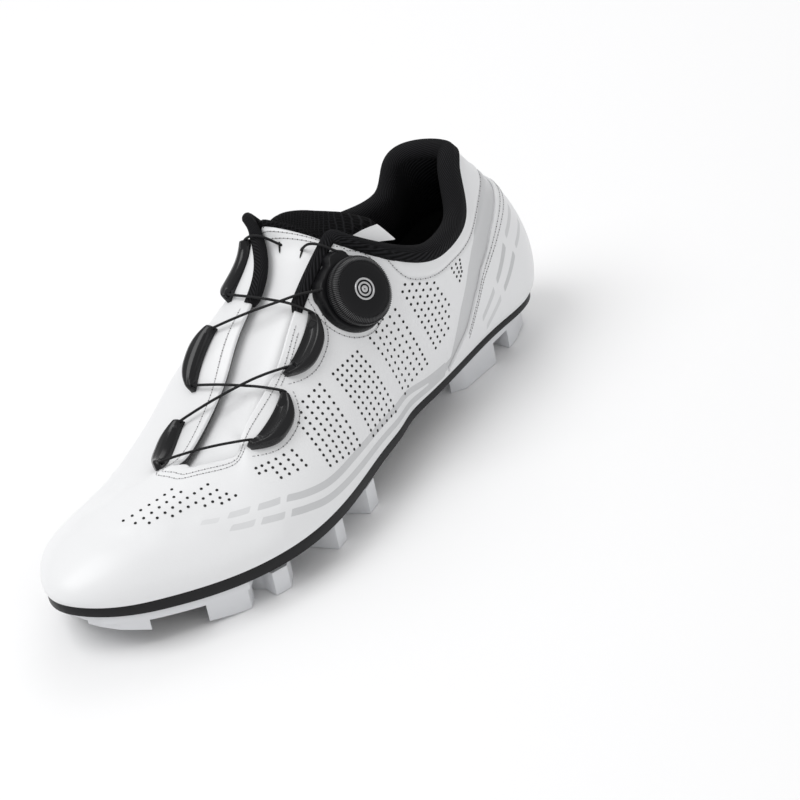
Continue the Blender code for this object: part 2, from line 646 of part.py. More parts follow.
def make_bolts(collection, finish):
    for number, (x, y) in enumerate(bolt_places(), 1):
        under = under_height(x, y)
        top = under - GAP
        bolt = add_piece("cleat_bolt_%d" % number, cylinder_mesh(
            "cleat_bolt", BOLT_HEAD / 2 * 0.94, top - BOLT_HEAD_HEIGHT, top, 24,
            BOLT_HEAD / 2), finish, collection)
        bolt.location = (x, y, 0)
        socket = loose("hex_socket", cylinder_mesh(
            "hex_socket", BOLT_SOCKET / 2, top - 2 * BOLT_HEAD_HEIGHT,
            top - BOLT_HEAD_HEIGHT / 2, 6), collection)
        socket.location = bolt.location
        boolean(bolt, [socket], "DIFFERENCE")


def make_screws(collection, finish):
    for number, (x, y) in enumerate(screw_places(), 1):
        seat = under_height(x, y) - BOSS_HEIGHT + BOSS_RECESS_DEPTH
        top = seat - GAP
        screw = add_piece("toe_screw_%d" % number, cylinder_mesh(
            "toe_screw", SCREW_HEAD / 2 * 0.72, top - SCREW_HEAD_HEIGHT, top, 24,
            SCREW_HEAD / 2), finish, collection)
        screw.location = (x, y, 0)


# Upper and its soft pieces


def ring_places():
    return np.linspace(0.0, 1.0, COLUMNS + 1)[:-1]


def places_between(first, last):
    """Both ends, and the upper's own columns between them."""
    inside = [p for p in ring_places() if first + 0.003 < p < last - 0.003]
    return np.array([first] + inside + [last])


def make_upper(collection, finish):
    places = ring_places()
    outer_shares = 1 - (1 - np.linspace(0, 1, 12)) ** 1.15
    inner_shares = np.linspace(0, 1, 10)
    rings = [shell(places, np.full(COLUMNS, v), np.zeros(COLUMNS)) for v in outer_shares]
    rings += [shell(places, np.full(COLUMNS, v), np.full(COLUMNS, -WALL))
              for v in inner_shares[::-1]]
    feet = rings[-1]
    feet[:, 2] = rings[0][:, 2]
    return add_piece("upper", grid_mesh("upper", rings, True, True), finish, collection)


def make_heel_counter(collection, finish):
    places = places_between(COUNTER[0].place, COUNTER[-1].place)
    tops = table_curve(COUNTER, "top", places)
    shares = np.array([COUNTER_FOOT + (top - COUNTER_FOOT) * np.linspace(0, 1, 9)
                       for top in tops])
    spread = np.repeat(places[:, None], shares.shape[1], 1)
    near = shell(spread, shares, np.full(shares.shape, GAP))
    far = shell(spread, shares, np.full(shares.shape, GAP + COUNTER_THICKNESS))
    return add_piece("heel_counter", slab_mesh("heel_counter", far, near), finish, collection)


def rim_frame(place):
    """Points over the upper's rim at a place, by height off the rim and depth inward."""
    edge, rise, normal = (item[()] for item in skin_frame(place, 1.0))
    run = skin(place + NUDGE, 1.0) - skin(place - NUDGE, 1.0)
    square = np.cross(normal, run)
    square = square / np.linalg.norm(square)
    if square @ rise < 0:
        square = -square

    def over(height, inward):
        return edge + square * height - normal * inward

    return over


def make_bindings(collection, finish):
    """A thin bead along the rim of each throat flap, from the cuff to the flap's end."""
    for name, first, last in BINDINGS:
        rings = []
        places = places_between(first, last)
        for place in places:
            over = rim_frame(place)
            end = min(abs(place - first), abs(place - last)) / BINDING_TAPER
            height = BINDING_HEIGHT * min(1.0, 0.45 + end)
            rings.append([over(RIM_GAP, -0.0003), over(height * 0.7, -0.0004),
                          over(height, WALL * 0.25), over(height, WALL * 0.75),
                          over(height * 0.7, WALL + 0.0003), over(RIM_GAP, WALL + 0.0002)])
        add_piece(name, grid_mesh(name, rings, True, False), finish, collection)


def make_collar(collection, finish):
    """Padded cuff: a roll over the edge, and a lining down the inside."""
    places = places_between(COLLAR[0].place, COLLAR[-1].place)
    rings = []
    for place in places:
        roll, pad, reach = (float(table_curve(COLLAR, field, place))
                            for field in ("roll", "pad", "reach"))
        depth = LINING_DEPTH + pad
        over = rim_frame(place)
        ring = [over(RIM_GAP, 0.0002), over(roll * 0.6, 0.0), over(roll * 0.95, depth * 0.28),
                over(roll, depth * 0.60), over(roll * 0.66, depth * 0.96)]
        for share in np.linspace(1.0, 0.0, 6):
            v = reach + (1.0 - reach) * share
            thick = LINING_DEPTH + pad * (0.30 + 0.70 * min(1.0, 1.6 * share))
            ring.append(shell(place, v, -thick))
        for share in np.linspace(0.0, 1.0, 4):
            v = reach + (1.0 - reach) * share
            ring.append(shell(place, v, -LINING_DEPTH))
        ring.append(over(RIM_GAP, LINING_DEPTH))
        rings.append(ring)
    return add_piece("collar_lining", grid_mesh("collar_lining", rings, True, False),
                     finish, collection)


def throat_pair(along):
    """Places on the outer and inner throat edge that lie level at a share of the length."""
    found = []
    for low, high in ((0.040, 0.289), (0.705, 0.935)):
        places = np.linspace(low, high, 200)
        alongs = 0.5 - skin(places, np.ones(200))[:, 1] / SHOE_LENGTH
        order = np.argsort(alongs)
        found.append(float(np.interp(along, alongs[order], places[order])))
    return found


TONGUE_OFFSET = WALL + BINDING + 4 * GAP
TONGUE_STATIONS = [0.727, 0.715, 0.70, 0.685, 0.66, 0.63, 0.60, 0.57, 0.54, 0.51, 0.48, 0.455,
                   0.435, 0.42]
TuckedTop = namedtuple("TuckedTop", "back rise narrow turn tilt spread thick")
# The free top of the tongue, past the flaps: how far back and up from the last station
# under the flaps, how much narrower, turned and tilted towards the outer side by how much
# for each metre across, the share of the spread below, and how thick.
TONGUE_TOP = [
    TuckedTop(0.003, 0.0010, 0.99, 0.06, 0.05, 0.20, 0.0030),
    TuckedTop(0.006, 0.0022, 0.98, 0.12, 0.10, 0.45, 0.0044),
    TuckedTop(0.009, 0.0032, 0.97, 0.18, 0.15, 0.75, TONGUE_PAD),
    TuckedTop(0.0115, 0.0034, 0.96, 0.22, 0.18, 1.0, TONGUE_PAD * 0.9),
    TuckedTop(0.0130, 0.0026, 0.94, 0.24, 0.20, 1.0, TONGUE_PAD * 0.45),
]
# How far the first columns of the padded top reach out over the outer side of the collar.
TONGUE_SPREAD = [(0.0105, 0.0110, -0.0100), (0.0075, 0.0075, -0.0030), (0.0045, 0.0045, -0.0008),
                 (0.0025, 0.0025, 0.0), (0.0010, 0.0010, 0.0)]


def tongue_row(along, count=8):
    """One row of the tongue's top face, tucked under both flaps and crowned between. Towards
    its top it turns with the flaps' corners and its crown gets flatter."""
    top = float(np.interp(along, TONGUE_FLATTENS, (1.0, 0.0)))
    outer_place = throat_pair(along - TONGUE_SKEW[0] * top)[0]
    inner_place = throat_pair(along + TONGUE_SKEW[1] * top)[1]
    crown = 1.0 - (1.0 - TONGUE_TOP_CROWN) * top
    tucked = np.array([TONGUE_TUCK, (TONGUE_TUCK + 1) / 2])
    left = shell(np.full(2, outer_place), tucked, np.full(2, -TONGUE_OFFSET))
    right = shell(np.full(2, inner_place), tucked, np.full(2, -TONGUE_OFFSET))
    ends = []
    for place in (outer_place, inner_place):
        point, rise, normal = skin_frame(place, 1.0)
        ends.append((point - normal * TONGUE_OFFSET, rise))
    (start, start_rise), (stop, stop_rise) = ends
    span = crown * np.linalg.norm(stop - start)
    u = np.linspace(0, 1, count)[:, None]
    middle = ((1 + 2 * u) * (1 - u) ** 2 * start + u * (1 - u) ** 2 * span * start_rise
              + u ** 2 * (3 - 2 * u) * stop - u ** 2 * (u - 1) * span * stop_rise)
    return np.concatenate([left, middle, right[::-1]])


def tongue_surface():
    """Rows of the tongue's top face from its front, and the thickness of each."""
    rows = [tongue_row(TONGUE_STATIONS[0]) + np.array(TONGUE_FRONT)]
    for along in TONGUE_STATIONS:
        rows.append(tongue_row(along))
    thick = [TONGUE_WALL] * len(rows)
    last = rows[-1]
    for _ in range(14):
        last = np.concatenate([last[:1], (last[:-2] + 2 * last[1:-1] + last[2:]) / 4, last[-1:]])
    centre = last.mean(0)
    for step in TONGUE_TOP:
        moved = centre + (last - centre) * np.array([step.narrow, 1.0, 1.0])
        across = (moved - centre)[:, :1]
        moved = moved + across * np.array([0.0, step.turn, step.tilt])
        moved[:len(TONGUE_SPREAD)] += np.array(TONGUE_SPREAD) * step.spread
        rows.append(moved + np.array([0.0, step.back, step.rise]))
        thick.append(step.thick)
    return np.array(rows), np.array(thick)


def grid_normals(grid):
    along = np.gradient(grid, axis=0)
    across = np.gradient(grid, axis=1)
    normal = np.cross(across, along)
    normal /= np.linalg.norm(normal, axis=-1, keepdims=True)
    if normal[:, :, 2].mean() < 0:
        normal = -normal
    return normal


def make_tongue(collection, finish):
    top, thick = tongue_surface()
    under = top - grid_normals(top) * thick[:, None, None]
    return add_piece("tongue", slab_mesh("tongue", top, under), finish, collection)


# Closure


def drape(anchor, offsets, height):
    """Points over the upper, given as steps (round, up) from a place on it, in metres, along
    the surface's own directions there, and lifted by height."""
    place, share = anchor
    origin, rise, normal = skin_frame(place, share)
    around = np.cross(rise, normal)
    offsets = np.asarray(offsets, float)
    target = origin + offsets[:, :1] * around + offsets[:, 1:] * rise
    p = np.full(len(offsets), place, float)
    v = np.full(len(offsets), share, float)
    for _ in range(12):
        point = skin(p, v)
        dp = (skin(p + NUDGE, v) - point) / NUDGE
        dv = (skin(p, np.clip(v, 0, 1 - NUDGE) + NUDGE) - skin(p, np.clip(v, 0, 1 - NUDGE))) / NUDGE
        miss = target - point
        miss = miss - (miss @ normal)[:, None] * normal
        matrix = np.stack([dp, dv, np.broadcast_to(normal, dp.shape)], -1)
        step = np.linalg.solve(matrix, miss[..., None])[..., 0]
        p = p + np.clip(step[:, 0], -0.02, 0.02)
        v = np.clip(v + np.clip(step[:, 1], -0.08, 0.08), 0.0, 1.0)
    return shell(p, v, np.asarray(height, float) * np.ones(len(p)))


def dial_frame():
    """Matrix with its origin on the upper's skin and +Z along the dial's axis."""
    origin, rise, normal = skin_frame(*DIAL_PLACE)
    axis = Vector(normal)
    up = (Vector(rise) - axis * Vector(rise).dot(axis)).normalized()
    around = up.cross(axis).normalized()
    frame = Matrix((around, up, axis)).transposed().to_4x4()
    frame.translation = Vector(origin)
    return frame


def dial_lift():
    """Height of the base's top over the skin at the dial's middle: the upper falls away
    round it, so the base is thickest at its rim."""
    return GAP + DIAL_BASE_HEIGHT


def base_outline(count=40):
    """Round base with two short lace spouts towards the throat, as (round, up) steps."""
    points = []
    radius = DIAL_BASE_DIAMETER / 2
    for k in range(count):
        angle = 2 * math.pi * k / count
        reach = radius
        for spout in DIAL_SPOUTS:
            turn = math.remainder(angle - math.radians(spout.angle), 2 * math.pi)
            if abs(turn) < SPOUT_SPREAD:
                reach = max(reach, radius + spout.length * (1 - (turn / SPOUT_SPREAD) ** 4))
        points.append((reach * math.cos(angle), reach * math.sin(angle)))
    return points



def make_dial(collection, base_finish, cap_finish):
    frame = dial_frame()
    outline = np.array(base_outline())
    rim_low = drape(DIAL_PLACE, outline, GAP)
    rings = [drape(DIAL_PLACE, outline * share, GAP) for share in (0.1, 0.4, 0.75)] + [rim_low]
    for share, height in ((1.0, 0.72), (0.965, 1.0), (0.45, 1.0)):
        rings.append([frame @ Vector((x * share, y * share, dial_lift() * height))
                      for x, y in outline])
    add_piece("dial_base", grid_mesh("dial_base", rings, True, False), base_finish, collection)

    foot = dial_lift() + GAP
    radius = DIAL_DIAMETER / 2
    profile = [(radius, foot), (radius, foot + DIAL_HEIGHT * 0.72),
               (radius - DIAL_RIM_SLOPE, foot + DIAL_HEIGHT - DIAL_RIM_SLOPE),
               (radius - 2.6 * DIAL_RIM_SLOPE, foot + DIAL_HEIGHT),
               (DIAL_CAP_DIAMETER / 2 + GAP, foot + DIAL_HEIGHT),
               (DIAL_CAP_DIAMETER / 2 + GAP, foot + DIAL_HEIGHT - DIAL_CAP_RECESS)]
    segments = 48
    rings = []
    for reach, height in profile:
        rings.append([frame @ Vector((reach * math.cos(2 * math.pi * k / segments),
                                      reach * math.sin(2 * math.pi * k / segments), height))
                      for k in range(segments)])
    add_piece("dial_knob", grid_mesh("dial_knob", rings, True, False), base_finish, collection)

    seat = foot + DIAL_HEIGHT - DIAL_CAP_RECESS + GAP
    cap = add_piece("dial_cap", cylinder_mesh(
        "dial_cap", DIAL_CAP_DIAMETER / 2, seat, seat + DIAL_CAP_HEIGHT, 28,
        DIAL_CAP_DIAMETER / 2 - 0.0004), cap_finish, collection)
    cap.matrix_world = frame


def guide_anchor(guide):
    return tuple((np.array(guide.rear) + np.array(guide.front)) / 2)


def guide_steps(guide, point):
    """A point over the upper as steps (round, up) from the guide's middle."""
    place, share = guide_anchor(guide)
    origin, rise, normal = skin_frame(place, share)
    around = np.cross(rise, normal)
    step = np.asarray(point) - origin
    return np.array([step @ around, step @ rise])


def guide_grid(guide, count=9):
    """A crescent between the two lace ends, hollow towards the throat, as rows across it."""
    rear = guide_steps(guide, skin(*guide.rear))
    front = guide_steps(guide, skin(*guide.front))
    run = front - rear
    length = np.linalg.norm(run)
    run = run / length
    away = np.array([run[1], -run[0]])
    if away[1] > 0:
        away = -away
    middle = (rear + front) / 2
    rows = []
    for k in range(count):
        t = -1 + 2 * k / (count - 1)
        bulge = guide.width * (0.10 + 0.92 * (1 - abs(t) ** 2.6))
        hollow = guide.width * (0.20 * (1 - abs(t) ** 2.2) - 0.16)
        outside = middle + run * t * (length / 2 + GUIDE_END) + away * bulge
        inside = middle + run * t * (length / 2 + GUIDE_END * 0.6) + away * hollow
        rows.append([outside + (inside - outside) * share for share in (0.0, 0.3, 0.7, 1.0)])
    return np.array(rows)


def make_guides(collection, finish):
    for guide in GUIDES:
        anchor = guide_anchor(guide)
        grid = guide_grid(guide)
        steps = grid.reshape(-1, 2)
        crown = np.tile([0.72, 1.0, 1.0, 0.72], len(grid)) * guide.height
        top = drape(anchor, steps, crown).reshape(len(grid), -1, 3)
        foot = drape(anchor, steps, 1.5 * GAP).reshape(len(grid), -1, 3)
        add_piece(guide.name, slab_mesh(guide.name, top, foot), finish, collection)


# Lace


def lace_end(name, which, lift_by):
    """Where the lace leaves a guide, just clear of its end."""
    guide = next(item for item in GUIDES if item.name == name)
    point, rise, normal = skin_frame(*getattr(guide, which))
    return point + rise * LACE_CLEAR_OF_GUIDE + normal * lift_by


LACE_CLEAR_OF_GUIDE = 0.0021
LACE_LIFT = 0.0024


def lace_path(points, count=13):
    """A smooth path through a few points."""
    points = [np.asarray(point, float) for point in points]
    path = []
    padded = [2 * points[0] - points[1]] + points + [2 * points[-1] - points[-2]]
    per = max(3, count // (len(points) - 1))
    for i in range(1, len(padded) - 2):
        a, b, c, d = padded[i - 1:i + 3]
        for k in range(per):
            t = k / per
            path.append(0.5 * (2 * b + (c - a) * t + (2 * a - 5 * b + 4 * c - d) * t ** 2
                               + (3 * b - a - 3 * c + d) * t ** 3))
    path.append(points[-1])
    return path


def tube(name, path, cutters):
    curve = bpy.data.curves.new(name, "CURVE")
    curve.dimensions = "3D"
    curve.bevel_depth = LACE_DIAMETER / 2
    curve.bevel_resolution = LACE_SIDES // 4
    curve.use_fill_caps = True
    spline = curve.splines.new("POLY")
    spline.points.add(len(path) - 1)
    for slot, point in zip(spline.points, path):
        slot.co = (*point, 1.0)
    source = bpy.data.objects.new(name, curve)
    cutters.objects.link(source)
    bpy.context.view_layer.update()
    graph = bpy.context.evaluated_depsgraph_get()
    mesh = bpy.data.meshes.new_from_object(source.evaluated_get(graph))
    bpy.data.objects.remove(source)
    bm = bmesh.new()
    bm.from_mesh(mesh)
    bmesh.ops.remove_doubles(bm, verts=bm.verts, dist=1e-6)
    bmesh.ops.recalc_face_normals(bm, faces=bm.faces)
    bm.to_mesh(mesh)
    bm.free()
    return mesh


OVER_TONGUE = np.array([0.0, -0.45, 0.89])


def over_throat(start, stop, bow):
    """A bar of lace between two guides, bowed up over the tongue."""
    start, stop = np.asarray(start), np.asarray(stop)
    return lace_path([start, start * 0.72 + stop * 0.28 + OVER_TONGUE * bow * 0.8,
                      (start + stop) / 2 + OVER_TONGUE * bow,
                      start * 0.28 + stop * 0.72 + OVER_TONGUE * bow * 0.8, stop])


def crossed_paths(first, second, bow):
    """Two bars of lace that cross, the second pressed onto the first where they meet."""
    (a, b), (c, d) = [[np.asarray(point) for point in bar] for bar in (first, second)]
    flat = np.stack([(b - a)[:2], (c - d)[:2]], 1)
    t, u = np.linalg.solve(flat, (c - a)[:2])
    meeting = (a + (b - a) * t + c + (d - c) * u) / 2 + OVER_TONGUE * bow
    paths = []
    for start, stop, share, side in ((a, b, t, -1), (c, d, u, 1)):
        point = meeting + OVER_TONGUE * side * LACE_DIAMETER * 0.3
        before = start + (point - start) * 0.5 + OVER_TONGUE * bow * 0.3
        after = stop + (point - stop) * 0.5 + OVER_TONGUE * bow * 0.3
        paths.append(lace_path([start, before, point, after, stop]))
    return paths


LACES = {
    "lace_top_lateral": [("dial_rear", "tongue_outer", 0.0040)],
    "lace_top_medial": [("tongue_inner", ("guide_medial_1", "rear"), 0.0042)],
    "lace_cross_upper": [(("guide_medial_1", "front"), ("guide_lateral_1", "rear"), 0.0022),
                         (("guide_medial_2", "rear"), "dial_front", 0.0022)],
    "lace_cross_lower": [(("guide_medial_2", "front"), ("guide_lateral_2", "rear"), 0.0022),
                         (("guide_medial_3", "rear"), ("guide_lateral_1", "front"), 0.0022)],
    "lace_bar_toe": [(("guide_medial_3", "front"), ("guide_lateral_2", "front"), 0.0016)],
}


def lace_point(where):
    if isinstance(where, tuple):
        return lace_end(*where, LACE_LIFT)
    if where.startswith("dial"):
        spout = DIAL_SPOUTS[0] if where == "dial_rear" else DIAL_SPOUTS[1]
        angle = math.radians(spout.angle)
        reach = DIAL_BASE_DIAMETER / 2 + spout.length + GAP + LACE_DIAMETER / 2
        frame = dial_frame()
        return np.array(frame @ Vector((reach * math.cos(angle), reach * math.sin(angle),
                                        dial_lift() * 0.6)))
    rows, _ = tongue_surface()
    row = rows[len(TONGUE_STATIONS)]
    normals = grid_normals(rows)[len(TONGUE_STATIONS)]
    index = 4 if where == "tongue_outer" else 7
    return row[index] + normals[index] * (GAP + LACE_DIAMETER / 2 + 0.0003)


def make_laces(collection, cutters, finish):
    for name, bars in LACES.items():
        ends = [(lace_point(start), lace_point(stop)) for start, stop, _ in bars]
        if len(bars) == 1:
            paths = [over_throat(*ends[0], bars[0][2])]
        else:
            paths = crossed_paths(*ends, bars[0][2])
        pieces = [tube(name, path, cutters) for path in paths]
        piece = add_piece(name, pieces[0], finish, collection)
        if len(pieces) > 1:
            boolean(piece, [loose("crossing", pieces[1], cutters)], "UNION")


def clear_scene():
    for item in list(bpy.data.objects):
        bpy.data.objects.remove(item)


def stand_on_origin(collection):
    """Move the whole shoe so that its box stands on the origin, centred."""
    bpy.context.view_layer.update()
    corners = [item.matrix_world @ vertex.co for item in collection.objects
               for vertex in item.data.vertices]
    low = Vector([min(point[axis] for point in corners) for axis in range(3)])
    high = Vector([max(point[axis] for point in corners) for axis in range(3)])
    move = Matrix.Translation((-(low.x + high.x) / 2, -(low.y + high.y) / 2, -low.z))
    for item in collection.objects:
        item.matrix_world = move @ item.matrix_world


def build_shoe():
    clear_scene()
    shoe = bpy.data.collections.new("cycling_shoe")
    cutters = bpy.data.collections.new("cutters")
    for made in (shoe, cutters):
        bpy.context.scene.collection.children.link(made)

    leather = material("upper_leather", LEATHER_WHITE, 0.42)
    counter = material("counter_leather", COUNTER_GREY, 0.40)
    lining = material("collar_mesh", MESH_BLACK, 0.85)
    tongue = material("tongue_leather", LEATHER_WHITE, 0.45)
    nylon = material("plate_nylon", NYLON_BLACK, 0.50)
    rubber = material("tread_rubber", RUBBER_WHITE, 0.55)
    insole = material("insole_fabric", MESH_BLACK, 0.90)
    bolt_steel = material("bolt_steel", NYLON_BLACK, 0.45, 0.6)
    screw_steel = material("screw_steel", STEEL, 0.35, 1.0)
    dial = material("dial_plastic", NYLON_BLACK, 0.35)
    cap = material("dial_cap_paint", CAP_GREY, 0.30, 0.5)
    guide = material("guide_plastic", NYLON_BLACK, 0.30)
    lace = material("lace_cord", NYLON_BLACK, 0.60)

    make_sole_plate(shoe, cutters, nylon)
    make_outsole(shoe, cutters, rubber)
    make_bolts(shoe, bolt_steel)
    make_screws(shoe, screw_steel)
    make_insole(shoe, insole)
    make_upper(shoe, leather)
    make_heel_counter(shoe, counter)
    make_collar(shoe, lining)
    make_bindings(shoe, lining)
    make_tongue(shoe, tongue)
    make_dial(shoe, dial, cap)
    make_guides(shoe, guide)
    make_laces(shoe, cutters, lace)
    stand_on_origin(shoe)


build_shoe()
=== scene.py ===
"""Looks of the left cycling shoe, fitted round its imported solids.

The upper is drawn again from the same last as the solids, fine enough for its seams, creases and
stripes. Cuff, tongue, tread, dial, guides and lace follow it. Metres, row frame.
"""

import json
import math
from collections import namedtuple

import bmesh
import bpy
import numpy as np
from mathutils import Matrix, Vector

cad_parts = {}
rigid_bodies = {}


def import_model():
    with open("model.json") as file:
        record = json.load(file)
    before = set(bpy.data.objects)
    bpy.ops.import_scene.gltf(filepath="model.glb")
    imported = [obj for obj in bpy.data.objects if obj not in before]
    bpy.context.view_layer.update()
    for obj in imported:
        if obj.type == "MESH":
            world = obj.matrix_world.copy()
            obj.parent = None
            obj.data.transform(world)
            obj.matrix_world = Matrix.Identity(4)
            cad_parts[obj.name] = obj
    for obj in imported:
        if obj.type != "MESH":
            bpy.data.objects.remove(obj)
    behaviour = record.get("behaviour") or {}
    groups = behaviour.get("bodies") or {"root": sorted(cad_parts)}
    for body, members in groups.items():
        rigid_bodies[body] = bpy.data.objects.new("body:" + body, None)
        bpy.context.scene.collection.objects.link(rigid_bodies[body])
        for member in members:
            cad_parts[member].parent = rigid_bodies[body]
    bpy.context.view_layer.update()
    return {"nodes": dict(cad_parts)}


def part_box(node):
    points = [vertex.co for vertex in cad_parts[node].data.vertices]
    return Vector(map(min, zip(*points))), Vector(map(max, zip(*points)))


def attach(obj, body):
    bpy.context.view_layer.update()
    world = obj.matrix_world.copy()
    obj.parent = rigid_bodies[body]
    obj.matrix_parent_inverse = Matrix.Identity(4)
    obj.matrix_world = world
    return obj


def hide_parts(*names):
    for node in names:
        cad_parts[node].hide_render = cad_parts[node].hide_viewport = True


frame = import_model()

# Sizes shared with the solids, in metres
SHOE_LENGTH = 0.286
HALF_BALL = 0.0495
STACK_HEIGHT = 0.019
UPPER_RISE = 0.074
SHIFT = np.zeros(3)             # set below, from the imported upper
CAD_COLUMNS = 104
CAD_ROWS = 12
CAD_ROW_EASE = 1.15
WALL = 0.0024
GAP = 0.0003
LINING_DEPTH = 0.0030
BINDING_HEIGHT = 0.0027
COUNTER_THICKNESS = 0.0010
COUNTER_FOOT = 0.03
PLATE_INSET = 0.0003
TREAD_INSET = 0.0012
TREAD_GAP = 0.0004
TREAD_BASE = 0.0035
TREAD_SOCKET = 0.0016
LUG_INSET = 0.0003
CUT_DEPTH = 0.010
CUT_TOP = 2.6 * STACK_HEIGHT
BOLT_ROW = 0.014
BOLT_COLUMN = 0.012
SLOT_WIDTH = 0.0056
SLOT_OVERRUN = 0.0036
SLOT_DEPTH = 0.0014
SCREW_SPACING = 0.031
SCREW_HEAD = 0.0112
BOSS = 0.0198
BOSS_HEIGHT = 0.0024
BOSS_RECESS = 0.0158
BOSS_RECESS_DEPTH = 0.0010
CHEVRON_WIDTH = 0.0022
CHEVRON_DEPTH = 0.0012
CLEAT_ALONG = 0.68
CLEAT_ACROSS = -0.09
SCREWS_ALONG = 0.858
SCREWS_ACROSS = -0.03
TONGUE_WALL = 0.0022
TONGUE_PAD = 0.0046
TONGUE_TUCK = 0.90
TONGUE_OFFSET = WALL + 0.0012 + 4 * GAP
TONGUE_FRONT = (0.0, -0.006, -0.0012)
TONGUE_FLATTENS = (0.42, 0.56)
TONGUE_TOP_CROWN = 0.35
TONGUE_SKEW = (0.018, 0.008)
DIAL_DIAMETER = 0.0282
DIAL_HEIGHT = 0.0066
DIAL_BASE_DIAMETER = 0.0304
DIAL_BASE_HEIGHT = 0.0028
DIAL_PLACE = (0.2865, 0.685)
DIAL_RIBS = 108
GUIDE_END = 0.0016
HOLE_DIAMETER = 0.0012
LACE_DIAMETER = 0.0011
LACE_LIFT = 0.0026

# Sizes of the looks alone
LINE_STEP = 0.0004              # spacing of points along stripes and seams
CREASE_STEP = 0.001
CREASE_FADE = 1.5               # a crease fades over this many of its half widths
SEAM_DEPTH = 0.00035
SEAM_WIDTH = 0.0007
SEAM_SWELL_AWAY = 0.0022
SEAM_SWELL_WIDTH = 0.0018
RIM_FADE = 0.02                 # share of the column over which the relief fades out
STRIPE_SLANT = 0.6
STRIPE_RUNOUT = 0.3             # share of its end step that a stripe's line runs on
FAR_OUTSIDE = -0.02             # distance kept where no stripe is near
TAPE_STATIONS = 90
TAPE_WIDTH = 0.012
SKIN_ROUND = 0.72               # way round the upper in metres, for one unit of place
CUFF_ROUND = 0.26
CUFF_WIDTH = 0.060
TONGUE_ACROSS = 8
TONGUE_SLOT_SIZE = (0.0072, 0.0008, 0.0003)
TONGUE_SWELL = 0.0012
TONGUE_PRESS = 0.0004
SOLE_STATIONS = 120
PLATE_EDGE = 0.0004
TREAD_EDGE = 0.0006
SCREW_HEIGHT = 0.0016
SCREW_TURN = 0.5
SCREW_RECESS = (0.0052, 0.0011, 0.0018)
RIB_WIDTH = 0.00046
RIB_HEIGHT = 0.0009
TOOTH_LENGTH = 0.0032
TOOTH_HEIGHT = 0.0008
LACE_STEPS = 7
LACE_INSIDE = 0.0014            # height of the lace inside a guide
LACE_DIP = 0.0012               # how far its ends sink into their holes
LACE_STUB = 0.0025
HOLE_SINK = 0.00016
STITCH_SIZE = (0.0016, 0.00042, 0.00034)
NEEDLE_SIZE = (0.0006, 0.0005, 0.00012)

